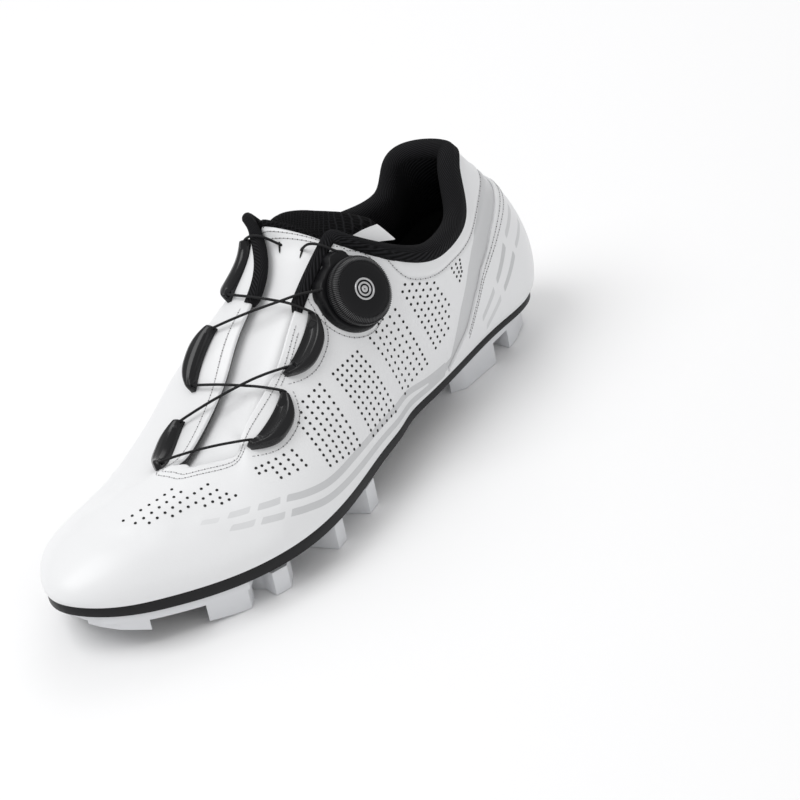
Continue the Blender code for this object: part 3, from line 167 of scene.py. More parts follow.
# Columns of the last, from the toe round the outer side, the heel and the inner side: shares of
# the shoe's length, half width, stack and rise.
Section = namedtuple(
    "Section",
    "name along across base top_along top_across top_height lean rise reach drop")
SECTIONS = [
    Section("toe_tip",          0.98, -0.06, 1.28, 0.735, 0.12, 0.37, 0.12, 0.42, 0.62, 0.02),
    Section("toe_outer",        0.95, 0.30, 1.16, 0.737, 0.18, 0.37, 0.11, 0.42, 0.62, 0.02),
    Section("toe_corner",       0.89, 0.57, 1.03, 0.72, 0.27, 0.37, 0.09, 0.40, 0.60, 0.03),
    Section("ball_front",       0.80, 0.86, 0.94, 0.69, 0.41, 0.37, 0.07, 0.36, 0.55, 0.05),
    Section("ball",             0.68, 1.03, 0.93, 0.655, 0.38, 0.465, 0.05, 0.34, 0.50, 0.10),
    Section("waist_front",      0.57, 0.96, 0.965, 0.565, 0.335, 0.62, 0.03, 0.32, 0.50, 0.16),
    Section("waist",            0.48, 0.83, 0.99, 0.475, 0.23, 0.85, 0.03, 0.34, 0.49, 0.18),
    Section("flap_edge",        0.43, 0.76, 0.985, 0.40, 0.19, 1.01, 0.03, 0.36, 0.43, 0.18),
    Section("flap_corner",      0.395, 0.695, 0.98, 0.387, 0.265, 1.01, 0.03, 0.38, 0.38, 0.20),
    Section("collar_front",     0.35, 0.66, 0.97, 0.337, 0.485, 0.845, 0.03, 0.36, 0.31, 0.22),
    Section("ankle",            0.25, 0.58, 0.93, 0.242, 0.595, 0.705, 0.065, 0.365, 0.255, 0.205),
    Section("heel_side",        0.14, 0.50, 0.895, 0.165, 0.435, 0.75, 0.13, 0.375, 0.32, 0.20),
    Section("heel_quarter",     0.045, 0.375, 0.865, 0.122, 0.21, 0.915, 0.18, 0.415, 0.49, 0.185),
    Section("heel_back",        0.017, 0.0, 0.905, 0.093, 0.0, 0.95, 0.18, 0.40, 0.40, 0.215),
    Section("heel_quarter_in",  0.045, -0.36, 0.93, 0.128, -0.335, 0.94, 0.145, 0.355, 0.30, 0.22),
    Section("heel_side_in",     0.14, -0.59, 0.96, 0.169, -0.45, 0.72, 0.10, 0.33, 0.105, 0.23),
    Section("ankle_in",         0.25, -0.585, 1.02, 0.268, -0.565, 0.715, 0.04, 0.34, 0.115, 0.225),
    Section("collar_front_in",  0.35, -0.575, 1.07, 0.384, -0.595, 0.91, 0.02, 0.36, 0.52, 0.155),
    Section("flap_corner_in",   0.395, -0.57, 1.08, 0.417, -0.565, 1.06, 0.02, 0.38, 0.89, 0.065),
    Section("flap_edge_in",     0.43, -0.585, 1.08, 0.434, -0.415, 1.02, 0.02, 0.36, 1.03, 0.04),
    Section("waist_in",         0.49, -0.62, 1.04, 0.471, -0.225, 0.89, 0.02, 0.35, 1.15, 0.01),
    Section("waist_front_in",   0.57, -0.73, 0.955, 0.54, -0.15, 0.73, 0.03, 0.32, 1.15, 0.0),
    Section("ball_in",          0.69, -0.90, 0.88, 0.615, -0.06, 0.53, 0.04, 0.32, 0.65, 0.075),
    Section("ball_front_in",    0.78, -0.90, 0.90, 0.69, 0.0, 0.395, 0.06, 0.335, 0.35, 0.10),
    Section("toe_corner_in",    0.89, -0.71, 1.02, 0.735, 0.03, 0.37, 0.085, 0.39, 0.46, 0.075),
    Section("toe_inner",        0.95, -0.40, 1.17, 0.745, 0.05, 0.375, 0.105, 0.425, 0.60, 0.03),
]

# Thickness of the plate's edge and height of the tread's underside, as shares of the stack.
Edge = namedtuple("Edge", "along band lift")
SOLE_EDGE = [
    Edge(0.00, 0.14, 0.16), Edge(0.05, 0.15, 0.05), Edge(0.10, 0.16, 0.0), Edge(0.35, 0.19, 0.0),
    Edge(0.60, 0.26, 0.0), Edge(0.80, 0.26, 0.0), Edge(0.85, 0.26, 0.10), Edge(0.90, 0.25, 0.29),
    Edge(0.95, 0.22, 0.59), Edge(1.00, 0.20, 0.88),
]

# Plan of the tread, its openings, lugs and the plate's grooves, as (along, across) points.
TREAD_OUTLINE = [
    (0.545, 0.58), (0.61, 0.60), (0.66, 0.63), (0.70, 0.66), (0.755, 0.74), (0.775, 0.82),
    (0.81, 0.93), (0.835, 0.88), (0.86, 0.80), (0.895, 0.68), (0.926, 0.51), (0.945, 0.36),
    (0.956, 0.20), (0.961, 0.05), (0.960, -0.12), (0.948, -0.31), (0.928, -0.50),
    (0.90, -0.65), (0.865, -0.76), (0.835, -0.84), (0.80, -0.72), (0.75, -0.73),
    (0.70, -0.74), (0.62, -0.74), (0.59, -0.68), (0.55, -0.46), (0.44, -0.20), (0.36, -0.15),
    (0.30, -0.20), (0.265, -0.52), (0.20, -0.55), (0.10, -0.52), (0.06, -0.42), (0.032, -0.20),
    (0.028, 0.0), (0.032, 0.18), (0.06, 0.35), (0.10, 0.43), (0.20, 0.50), (0.265, 0.49),
    (0.30, 0.18), (0.36, 0.16), (0.44, 0.21),
]
TREAD_OPENINGS = {
    "cleat": [
        (0.572, 0.36), (0.64, 0.36), (0.70, 0.38), (0.76, 0.44), (0.796, 0.50), (0.818, 0.64),
        (0.846, 0.66), (0.875, 0.58), (0.905, 0.44), (0.922, 0.20), (0.900, 0.16),
        (0.876, 0.06), (0.872, 0.01), (0.876, -0.05), (0.922, -0.15), (0.910, -0.44),
        (0.890, -0.54), (0.865, -0.62), (0.848, -0.60), (0.832, -0.53), (0.80, -0.51),
        (0.766, -0.52), (0.70, -0.54), (0.62, -0.53), (0.602, -0.36), (0.572, -0.03),
        (0.567, 0.10), (0.568, 0.22)],
    "toe": [(0.888, 0.02), (0.914, 0.11), (0.914, -0.05)],
    "arch": [(0.455, 0.06), (0.508, 0.33), (0.532, 0.18), (0.545, -0.26), (0.467, -0.05)],
    "heel": [(0.105, 0.0), (0.125, 0.20), (0.225, 0.26), (0.255, 0.0), (0.225, -0.28),
             (0.125, -0.25)],
}
LUGS = {
    "outer_rear": [(0.575, 0.46), (0.545, 0.50), (0.515, 0.74), (0.522, 0.87), (0.546, 0.91),
                   (0.565, 0.68), (0.592, 0.52)],
    "outer_middle": [(0.625, 0.46), (0.598, 0.56), (0.596, 0.79), (0.610, 0.95), (0.633, 0.98),
                     (0.644, 0.79), (0.672, 0.48)],
    "outer_front": [(0.715, 0.50), (0.698, 0.62), (0.707, 0.86), (0.733, 0.97), (0.755, 0.95),
                    (0.750, 0.78), (0.765, 0.56)],
    "outer_toe": [(0.792, 0.56), (0.772, 0.78), (0.808, 0.91), (0.846, 0.82), (0.862, 0.70),
                  (0.840, 0.69), (0.812, 0.68)],
    "toe_outer": [(0.908, 0.40), (0.914, 0.53), (0.926, 0.46), (0.940, 0.34), (0.953, 0.16),
                  (0.956, 0.05), (0.932, 0.05), (0.920, 0.28)],
    "toe_inner": [(0.930, -0.12), (0.953, -0.16), (0.943, -0.31), (0.923, -0.49), (0.898, -0.62),
                  (0.896, -0.55), (0.917, -0.42)],
    "inner_toe": [(0.836, -0.57), (0.804, -0.60), (0.806, -0.74), (0.830, -0.82), (0.866, -0.73),
                  (0.864, -0.66), (0.845, -0.63)],
    "inner_front": [(0.765, -0.55), (0.742, -0.60), (0.752, -0.76), (0.776, -0.87),
                    (0.800, -0.83), (0.788, -0.62)],
    "inner_middle": [(0.710, -0.57), (0.672, -0.60), (0.668, -0.82), (0.684, -0.88),
                     (0.708, -0.87), (0.716, -0.70)],
    "inner_rear": [(0.618, -0.56), (0.598, -0.50), (0.586, -0.66), (0.596, -0.74),
                   (0.626, -0.78), (0.636, -0.66)],
    "heel_outer_front": [(0.162, 0.24), (0.162, 0.465), (0.236, 0.475), (0.256, 0.40),
                         (0.222, 0.27)],
    "heel_inner_front": [(0.162, -0.28), (0.222, -0.30), (0.256, -0.42), (0.236, -0.52),
                         (0.162, -0.52)],
    "heel_back": [(0.122, 0.22), (0.100, 0.02), (0.122, -0.26), (0.122, -0.50), (0.095, -0.48),
                  (0.062, -0.38), (0.036, -0.18), (0.033, 0.0), (0.036, 0.16), (0.062, 0.31),
                  (0.098, 0.40), (0.122, 0.43)],
}
CHEVRONS = [[(0.777, 0.36), (0.842, 0.0), (0.777, -0.38)],
            [(0.777, 0.20), (0.812, -0.01), (0.777, -0.22)]]

# Padded cuff: height over the rim, padding, and the share of the column that it reaches down to.
Collar = namedtuple("Collar", "place roll pad reach")
COLLAR = [
    Collar(0.306, 0.0024, 0.0006, 0.955), Collar(0.335, 0.0038, 0.0014, 0.90),
    Collar(0.360, 0.0048, 0.0035, 0.72), Collar(0.425, 0.0050, 0.0050, 0.50),
    Collar(0.502, 0.0042, 0.0050, 0.42), Collar(0.581, 0.0050, 0.0050, 0.50),
    Collar(0.632, 0.0046, 0.0035, 0.72), Collar(0.655, 0.0030, 0.0014, 0.90),
    Collar(0.668, 0.0024, 0.0006, 0.955),
]
Counter = namedtuple("Counter", "place top")
COUNTER = [
    Counter(0.354, 0.06), Counter(0.380, 0.22), Counter(0.395, 0.39), Counter(0.412, 0.53),
    Counter(0.440, 0.60), Counter(0.470, 0.63), Counter(0.502, 0.64), Counter(0.534, 0.63),
    Counter(0.564, 0.60), Counter(0.592, 0.53), Counter(0.609, 0.39), Counter(0.624, 0.22),
    Counter(0.650, 0.06),
]
# Woven tape on each flap: from the throat end to the end hidden under the cuff.
BINDINGS = [("binding_lateral", 0.258, 0.330), ("binding_medial", 0.763, 0.646)]
BINDING_TAPER = 0.006
Spout = namedtuple("Spout", "angle length")
DIAL_SPOUTS = [Spout(90, 0.0030), Spout(153, 0.0008)]
SPOUT_SPREAD = math.radians(19)
Guide = namedtuple("Guide", "name rear front width height")
GUIDES = [
    Guide("guide_medial_1", (0.716, 0.872), (0.758, 0.858), 0.0070, 0.0046),
    Guide("guide_medial_2", (0.783, 0.880), (0.832, 0.862), 0.0075, 0.0044),
    Guide("guide_medial_3", (0.858, 0.835), (0.925, 0.900), 0.0082, 0.0042),
    Guide("guide_lateral_1", (0.262, 0.885), (0.224, 0.925), 0.0088, 0.0038),
    Guide("guide_lateral_2", (0.210, 0.880), (0.162, 0.878), 0.0092, 0.0038),
]
TONGUE_STATIONS = [0.727, 0.715, 0.70, 0.685, 0.66, 0.63, 0.60, 0.57, 0.54, 0.51, 0.48, 0.455,
                   0.435, 0.42]
TuckedTop = namedtuple("TuckedTop", "back rise narrow turn tilt spread thick")
TONGUE_TOP = [
    TuckedTop(0.003, 0.0010, 0.99, 0.06, 0.05, 0.20, 0.0030),
    TuckedTop(0.006, 0.0022, 0.98, 0.12, 0.10, 0.45, 0.0044),
    TuckedTop(0.009, 0.0032, 0.97, 0.18, 0.15, 0.75, TONGUE_PAD),
    TuckedTop(0.0115, 0.0034, 0.96, 0.22, 0.18, 1.0, TONGUE_PAD * 0.9),
    TuckedTop(0.0130, 0.0026, 0.94, 0.24, 0.20, 1.0, TONGUE_PAD * 0.45),
]
TONGUE_SPREAD = [(0.0105, 0.0110, -0.0100), (0.0075, 0.0075, -0.0030), (0.0045, 0.0045, -0.0008),
                 (0.0025, 0.0025, 0.0), (0.0010, 0.0010, 0.0)]
KNIT_SIDE = 0.085                # share of the width left in leather at the outer side
# The knit starts at this row of the tongue at its outer and its inner side.
KNIT_FROM = (14.5, 13.6)
TONGUE_SLOTS = {"outer": (13.1, 4.6), "inner": (13.2, 6.8)}

# Looks of the upper, by place round it and share of the column.
# Soft creases: each runs from start to end, with its half width and its depth in metres.
Crease = namedtuple("Crease", "start end width depth")
CREASES = [
    Crease((0.150, 0.20), (0.085, 0.60), 0.0090, -0.0011),
    Crease((0.172, 0.22), (0.112, 0.68), 0.0080, 0.0007),
    Crease((0.860, 0.30), (0.925, 0.68), 0.0090, -0.0011),
    Crease((0.835, 0.35), (0.890, 0.74), 0.0080, 0.0007),
    Crease((0.785, 0.60), (0.800, 0.93), 0.0070, -0.0008),
    Crease((0.350, 0.50), (0.335, 0.90), 0.0100, -0.0009),
    Crease((0.655, 0.50), (0.665, 0.90), 0.0100, -0.0009),
    Crease((0.300, 0.40), (0.262, 0.52), 0.0080, -0.0009),
    Crease((0.225, 0.30), (0.235, 0.60), 0.0080, -0.0006),
    Crease((0.060, 0.60), (-0.060, 0.62), 0.0070, -0.0007),
    Crease((0.080, 0.76), (-0.080, 0.78), 0.0060, 0.0005),
]
# The seam pressed into the upper round the collar.
COLLAR_SEAM = [
    (0.324, 0.968), (0.328, 0.870), (0.332, 0.820), (0.338, 0.806), (0.358, 0.812),
    (0.380, 0.815), (0.403, 0.800), (0.424, 0.783), (0.450, 0.763), (0.474, 0.748),
    (0.502, 0.744), (0.530, 0.748), (0.556, 0.763), (0.582, 0.785), (0.604, 0.805),
    (0.628, 0.815), (0.650, 0.812), (0.658, 0.830), (0.662, 0.880), (0.664, 0.965),
]
# Grey panel between the collar's seam and the heel counter, as a closed outline.
STRIPE_REAR = [
    (0.358, 0.119), (0.377, 0.406), (0.398, 0.640), (0.411, 0.725), (0.424, 0.765), (0.448, 0.757),
    (0.474, 0.742), (0.502, 0.738), (0.502, 0.640), (0.470, 0.630), (0.440, 0.605),
    (0.415, 0.540), (0.393, 0.370), (0.378, 0.185), (0.353, 0.050), (0.330, 0.040),
    (0.330, 0.085),
]
# Long stripes and the dashes ahead of them: middle line from the rear, half height, darkness.
Stripe = namedtuple("Stripe", "line half tone")
STRIPES = [
    Stripe([(0.350, 0.098), (0.320, 0.098), (0.290, 0.115), (0.260, 0.160), (0.230, 0.215),
            (0.199, 0.269), (0.178, 0.345), (0.162, 0.425)], 0.0014, 1.0),
    Stripe([(0.350, 0.045), (0.320, 0.042), (0.290, 0.048), (0.260, 0.075), (0.225, 0.115),
            (0.193, 0.169), (0.174, 0.245), (0.160, 0.312)], 0.0014, 1.0),
    Stripe([(0.1565, 0.447), (0.1365, 0.511)], 0.0013, 0.75),
    Stripe([(0.1545, 0.332), (0.1365, 0.404)], 0.0013, 0.75),
    Stripe([(0.1290, 0.533), (0.1090, 0.572)], 0.0012, 0.55),
    Stripe([(0.1310, 0.424), (0.1110, 0.478)], 0.0012, 0.55),
    Stripe([(0.1010, 0.567), (0.0860, 0.585)], 0.0010, 0.30),
]
COUNTER_DASHES = [
    Stripe([(0.470, 0.513), (0.448, 0.481)], 0.0011, 0.6),
    Stripe([(0.469, 0.413), (0.451, 0.375)], 0.0011, 0.6),
    Stripe([(0.443, 0.463), (0.422, 0.344)], 0.0012, 0.8),
    Stripe([(0.447, 0.363), (0.427, 0.244)], 0.0012, 0.8),
    Stripe([(0.417, 0.315), (0.398, 0.195)], 0.0012, 0.6),
    Stripe([(0.422, 0.215), (0.402, 0.100)], 0.0012, 0.5),
]
SLIT = (0.752, 0.935)           # the inner flap's cut edge, by place, where its rim is painted dark as the shade under the flap


def curve_between(a, b, c, d, t):
    """A smooth curve from b to c, with a before them and d after."""
    return 0.5 * (2 * b + (c - a) * t + (2 * a - 5 * b + 4 * c - d) * t ** 2
                  + (3 * b - a - 3 * c + d) * t ** 3)


def periodic_spline(knots, values):
    """A smooth closed curve through the values, with a period of one."""
    count = len(knots)
    spans = np.diff(np.append(knots, knots[0] + 1.0))
    matrix = np.zeros((count, count))
    right = np.zeros_like(values)
    for i in range(count):
        before, after = spans[i - 1], spans[i]
        matrix[i, (i - 1) % count] += after
        matrix[i, i] += 2 * (before + after)
        matrix[i, (i + 1) % count] += before
        right[i] = 3 * (after * (values[i] - values[i - 1]) / before
                        + before * (values[(i + 1) % count] - values[i]) / after)
    slopes = np.linalg.solve(matrix, right)

    def curve(places):
        t = np.mod(np.asarray(places, float), 1.0)
        i = np.clip(np.searchsorted(knots, t, side="right") - 1, 0, count - 1)
        j = (i + 1) % count
        span = spans[i][..., None]
        u = (t - knots[i])[..., None] / span
        return ((1 + 2 * u) * (1 - u) ** 2 * values[i] + u * (1 - u) ** 2 * span * slopes[i]
                + u ** 2 * (3 - 2 * u) * values[j] + u ** 2 * (u - 1) * span * slopes[j])

    return curve


def shoe_y(along):
    return SHOE_LENGTH * (0.5 - np.asarray(along, float)) + SHIFT[1]


def shoe_x(across):
    return np.asarray(across, float) * HALF_BALL + SHIFT[0]


def last_curves():
    table = np.array([row[1:] for row in SECTIONS], float)
    feet = np.stack([shoe_x(table[:, 1]), shoe_y(table[:, 0]), table[:, 2] * STACK_HEIGHT], 1)
    heads = np.stack([shoe_x(table[:, 4]), shoe_y(table[:, 3]),
                      STACK_HEIGHT + table[:, 5] * UPPER_RISE], 1)
    handles = np.stack([table[:, 6] * HALF_BALL, table[:, 7], table[:, 8],
                        table[:, 9] * UPPER_RISE], 1)
    steps = np.linalg.norm(np.roll(feet[:, :2], -1, 0) - feet[:, :2], axis=1)
    knots = np.concatenate([[0.0], np.cumsum(steps)[:-1]]) / steps.sum()
    return periodic_spline(knots, np.concatenate([feet, heads, handles], 1))


LAST = last_curves()
NUDGE = 1e-4
NORMAL_SPREAD = 0.014


def column(places):
    """Control points of the columns at these places, and their outward directions."""
    values = LAST(places)
    run = (LAST(np.asarray(places) + NUDGE) - LAST(np.asarray(places) - NUDGE))[..., :2]
    outward = np.stack([run[..., 1], -run[..., 0]], -1)
    outward = outward / np.linalg.norm(outward, axis=-1, keepdims=True)
    outward = np.concatenate([outward, np.zeros(outward.shape[:-1] + (1,))], -1)
    foot, head, handle = values[..., 0:3], values[..., 3:6], values[..., 6:10]
    height = (head - foot)[..., 2:3]
    up = np.array([0.0, 0.0, 1.0])
    flat = (foot - head) * np.array([1.0, 1.0, 0.0])
    low = foot + outward * handle[..., 0:1] + up * height * handle[..., 1:2]
    high = head + flat * handle[..., 2:3] - up * handle[..., 3:4]
    return foot, low, high, head, outward


def skin(places, shares):
    """Outer surface of the upper, by place round it and share of the column."""
    foot, low, high, head, _ = column(places)
    v = np.asarray(shares, float)[..., None]
    return ((1 - v) ** 3 * foot + 3 * v * (1 - v) ** 2 * low
            + 3 * v ** 2 * (1 - v) * high + v ** 3 * head)


def skin_frame(places, shares):
    """Surface point, direction up the column and outward normal."""
    p, v = np.broadcast_arrays(np.asarray(places, float), np.asarray(shares, float))
    upper, lower = np.clip(v + NUDGE, 0, 1), np.clip(v - NUDGE, 0, 1)
    normal = 0.0
    for step in (-NORMAL_SPREAD, -NORMAL_SPREAD / 2, 0.0, NORMAL_SPREAD / 2, NORMAL_SPREAD):
        near = p + step
        rise = skin(near, upper) - skin(near, lower)
        run = skin(near + NUDGE, v) - skin(near - NUDGE, v)
        side = np.cross(run, rise)
        normal = normal + side / np.linalg.norm(side, axis=-1, keepdims=True)
    rise = skin(p, upper) - skin(p, lower)
    rise = rise / np.linalg.norm(rise, axis=-1, keepdims=True)
    normal = normal - (normal * rise).sum(-1, keepdims=True) * rise
    normal = normal / np.linalg.norm(normal, axis=-1, keepdims=True)
    return skin(p, v), rise, normal


def frame_shift():
    """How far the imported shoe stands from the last's own origin, from the upper's box."""
    places = np.linspace(0, 1, CAD_COLUMNS, endpoint=False)
    shares = 1 - (1 - np.linspace(0, 1, CAD_ROWS)) ** CAD_ROW_EASE
    spots = skin(*(grid.ravel() for grid in np.meshgrid(places, shares)))
    low, high = (np.array(corner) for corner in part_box("upper"))
    move = (low + high - spots.min(0) - spots.max(0)) / 2
    return np.array([move[0], move[1], 0.0])


SHIFT = frame_shift()
LAST = last_curves()


def shell(places, shares, offset):
    point, _, normal = skin_frame(places, shares)
    return point + normal * np.asarray(offset, float)[..., None]


def table_curve(rows, field, places, key="place"):
    return np.interp(places, [getattr(row, key) for row in rows],
                     [getattr(row, field) for row in rows])


def smooth_path(points, step):
    """A path of (place, share) points, rounded and spaced evenly on the skin."""
    points = np.asarray(points, float)
    padded = np.concatenate([[2 * points[0] - points[1]], points, [2 * points[-1] - points[-2]]])
    fine = []
    for i in range(1, len(padded) - 2):
        a, b, c, d = padded[i - 1:i + 3]
        for t in np.linspace(0, 1, 12, endpoint=False):
            fine.append(curve_between(a, b, c, d, t))
    fine = np.array(fine + [points[-1]])
    spots = skin(fine[:, 0], np.clip(fine[:, 1], 0, 1))
    run = np.concatenate([[0.0], np.cumsum(np.linalg.norm(np.diff(spots, axis=0), axis=1))])
    count = max(2, int(round(run[-1] / step)) + 1)
    at = np.linspace(0, run[-1], count)
    return np.stack([np.interp(at, run, fine[:, 0]), np.interp(at, run, fine[:, 1])], 1)


def distance_to_path(spots, path_spots):
    """Distance from each spot to the nearest point of a path."""
    nearest = np.full(len(spots), 1.0)
    low, high = path_spots.min(0) - 0.02, path_spots.max(0) + 0.02
    near = np.where(((spots > low) & (spots < high)).all(1))[0]
    for start in range(0, len(near), 4000):
        part = near[start:start + 4000]
        away = spots[part][:, None] - path_spots[None]
        nearest[part] = np.sqrt((away ** 2).sum(-1).min(1))
    return nearest


def inside_distance(points, outline):
    """Distance to a closed outline, positive inside it."""
    outline = np.asarray(outline, float)
    ends = np.roll(outline, -1, 0)
    best = np.full(len(points), 1e9)
    inside = np.zeros(len(points), bool)
    for a, b in zip(outline, ends):
        along = b - a
        t = np.clip(((points - a) @ along) / (along @ along), 0, 1)
        best = np.minimum(best, np.linalg.norm(points - a - t[:, None] * along, axis=1))
        crosses = (a[1] > points[:, 1]) != (b[1] > points[:, 1])
        if crosses.any() and b[1] != a[1]:
            x = a[0] + (points[:, 1] - a[1]) / (b[1] - a[1]) * (b[0] - a[0])
            inside ^= crosses & (points[:, 0] < x)
    return np.where(inside, best, -best)


# Materials

WHITE = (0.80, 0.805, 0.815)
STRIPE_GREY = (0.585, 0.59, 0.60)
DASH_GREY = (0.50, 0.505, 0.515)
PRINT_EDGE = 0.12                # softness of a printed edge, in millimetres either way
KNIT_BLACK = (0.009, 0.009, 0.010)
# Painted shade in the knit's hollows and painted highlight on its threads, as shares of its black.
KNIT_HOLLOW_SHADE = 0.25
KNIT_THREAD_HIGHLIGHT = 2.2
KNIT_SLANT = math.radians(24)
COAT_ROUGHNESS = 0.15
GRAIN_DETAIL = 3.0


def new_material(name, color, roughness, metallic=0.0, coat=0.0, specular=0.5):
    made = bpy.data.materials.new(name)
    made.use_nodes = True
    shader = made.node_tree.nodes["Principled BSDF"]
    shader.inputs["Base Color"].default_value = (*color, 1.0)
    shader.inputs["Roughness"].default_value = roughness
    shader.inputs["Metallic"].default_value = metallic
    shader.inputs["Coat Weight"].default_value = coat
    shader.inputs["Coat Roughness"].default_value = COAT_ROUGHNESS
    shader.inputs["Specular IOR Level"].default_value = specular
    return made


def add_grain(made, scale, strength, depth):
    """A fine bump in the object's own coordinates."""
    nodes, links = made.node_tree.nodes, made.node_tree.links
    where = nodes.new("ShaderNodeTexCoord")
    bump = nodes.new("ShaderNodeBump")
    bump.inputs["Strength"].default_value = strength
    bump.inputs["Distance"].default_value = depth
    grain = nodes.new("ShaderNodeTexNoise")
    grain.inputs["Detail"].default_value = GRAIN_DETAIL
    grain.inputs["Scale"].default_value = scale
    links.new(where.outputs["Object"], grain.inputs["Vector"])
    links.new(grain.outputs[0], bump.inputs["Height"])
    links.new(bump.outputs["Normal"], nodes["Principled BSDF"].inputs["Normal"])


def mix_colors(made, factor, low, high):
    """Gives a material a colour between two, by the value of a socket."""
    nodes, links = made.node_tree.nodes, made.node_tree.links
    mix = nodes.new("ShaderNodeMix")
    mix.data_type = "RGBA"
    colors = [item for item in mix.inputs if item.type == "RGBA"]
    colors[0].default_value = (*low, 1.0)
    colors[1].default_value = (*high, 1.0)
    links.new(factor, mix.inputs["Factor"])
    result = [item for item in mix.outputs if item.type == "RGBA"][0]
    links.new(result, nodes["Principled BSDF"].inputs["Base Color"])


def masked_color(made, inside, outside, rough_inside, rough_outside):
    """Colour chosen by the stripe distance on the mesh, positive inside, weakened by its tone."""
    nodes, links = made.node_tree.nodes, made.node_tree.links
    shader = nodes["Principled BSDF"]
    source = nodes.new("ShaderNodeAttribute")
    source.attribute_name = "stripe"
    tone = nodes.new("ShaderNodeAttribute")
    tone.attribute_name = "tone"
    ramp = nodes.new("ShaderNodeMapRange")
    ramp.inputs["From Min"].default_value = -PRINT_EDGE
    ramp.inputs["From Max"].default_value = PRINT_EDGE
    links.new(source.outputs["Fac"], ramp.inputs["Value"])
    weaken = nodes.new("ShaderNodeMath")
    weaken.operation = "MULTIPLY"
    links.new(ramp.outputs["Result"], weaken.inputs[0])
    links.new(tone.outputs["Fac"], weaken.inputs[1])
    mix_colors(made, weaken.outputs["Value"], outside, inside)
    rough = nodes.new("ShaderNodeMapRange")
    rough.inputs["From Min"].default_value = -PRINT_EDGE
    rough.inputs["From Max"].default_value = PRINT_EDGE
    rough.inputs["To Min"].default_value = rough_outside
    rough.inputs["To Max"].default_value = rough_inside
    links.new(source.outputs["Fac"], rough.inputs["Value"])
    links.new(rough.outputs["Result"], shader.inputs["Roughness"])


def knit_material(name, scale, squash, strength, depth, ribs):
    """Black knit with fine slanted ribs or open cells, laid along the piece's own UV map, with
    painted shade in its hollows and painted highlight on its threads.
    """
    made = new_material(name, KNIT_BLACK, 0.9, specular=0.12)
    nodes, links = made.node_tree.nodes, made.node_tree.links
    where = nodes.new("ShaderNodeUVMap")
    where.uv_map = "weave"
    spread = nodes.new("ShaderNodeMapping")
    spread.inputs["Scale"].default_value = (scale, scale * squash, 1.0)
    spread.inputs["Rotation"].default_value = (0.0, 0.0, KNIT_SLANT)
    links.new(where.outputs["UV"], spread.inputs["Vector"])
    thread = nodes.new("ShaderNodeMapRange")
    if ribs:
        cells = nodes.new("ShaderNodeTexWave")
        cells.inputs["Scale"].default_value = 0.314
        cells.inputs["Distortion"].default_value = 0.6
        links.new(spread.outputs["Vector"], cells.inputs["Vector"])
        links.new(cells.outputs["Fac"], thread.inputs["Value"])
    else:
        cells = nodes.new("ShaderNodeTexVoronoi")
        cells.feature = "DISTANCE_TO_EDGE"
        cells.inputs["Scale"].default_value = 1.0
        cells.inputs["Randomness"].default_value = 0.18
        thread.inputs["From Max"].default_value = 0.22
        thread.inputs["To Min"].default_value = 1.0
        thread.inputs["To Max"].default_value = 0.0
        links.new(spread.outputs["Vector"], cells.inputs["Vector"])
        links.new(cells.outputs["Distance"], thread.inputs["Value"])
    bump = nodes.new("ShaderNodeBump")
    bump.inputs["Strength"].default_value = strength
    bump.inputs["Distance"].default_value = depth
    links.new(thread.outputs["Result"], bump.inputs["Height"])
    links.new(bump.outputs["Normal"], nodes["Principled BSDF"].inputs["Normal"])
    # The bump's pattern also paints the colour: shade in the hollows, highlight on the threads.
    mix_colors(made, thread.outputs["Result"], [part * KNIT_HOLLOW_SHADE for part in KNIT_BLACK],
               [part * KNIT_THREAD_HIGHLIGHT for part in KNIT_BLACK])
    return made


leather = new_material("upper_leather", WHITE, 0.40, coat=0.06)
add_grain(leather, 1500.0, 0.10, 0.0003)
masked_color(leather, STRIPE_GREY, WHITE, 0.30, 0.40)
counter_leather = new_material("counter_leather", WHITE, 0.38, coat=0.08)
add_grain(counter_leather, 1500.0, 0.08, 0.0003)
masked_color(counter_leather, DASH_GREY, WHITE, 0.30, 0.38)
tongue_leather = new_material("tongue_leather", WHITE, 0.42, coat=0.05)
add_grain(tongue_leather, 1500.0, 0.10, 0.0003)
collar_knit = knit_material("collar_mesh", 900.0, 0.8, 0.7, 0.0004, ribs=True)
tongue_knit = knit_material("tongue_mesh", 620.0, 1.7, 1.0, 0.0008, ribs=False)
binding_knit = knit_material("binding_weave", 1500.0, 0.8, 0.6, 0.0003, ribs=True)
nylon = new_material("plate_nylon", (0.008, 0.008, 0.009), 0.45, specular=0.25)
add_grain(nylon, 2200.0, 0.06, 0.0002)
rubber = new_material("tread_rubber", (0.70, 0.71, 0.73), 0.50)
add_grain(rubber, 1200.0, 0.05, 0.0002)
footbed = new_material("insole_fabric", (0.014, 0.014, 0.016), 0.9)
add_grain(footbed, 1400.0, 0.3, 0.0003)
bolt_black = new_material("bolt_steel", (0.03, 0.03, 0.033), 0.38, metallic=0.7)
add_grain(bolt_black, 2500.0, 0.1, 0.0002)
zinc = new_material("screw_steel", (0.62, 0.61, 0.59), 0.30, metallic=1.0)
add_grain(zinc, 2500.0, 0.05, 0.0002)
dial_black = new_material("dial_plastic", (0.005, 0.005, 0.006), 0.40, specular=0.22)
add_grain(dial_black, 2500.0, 0.08, 0.0002)
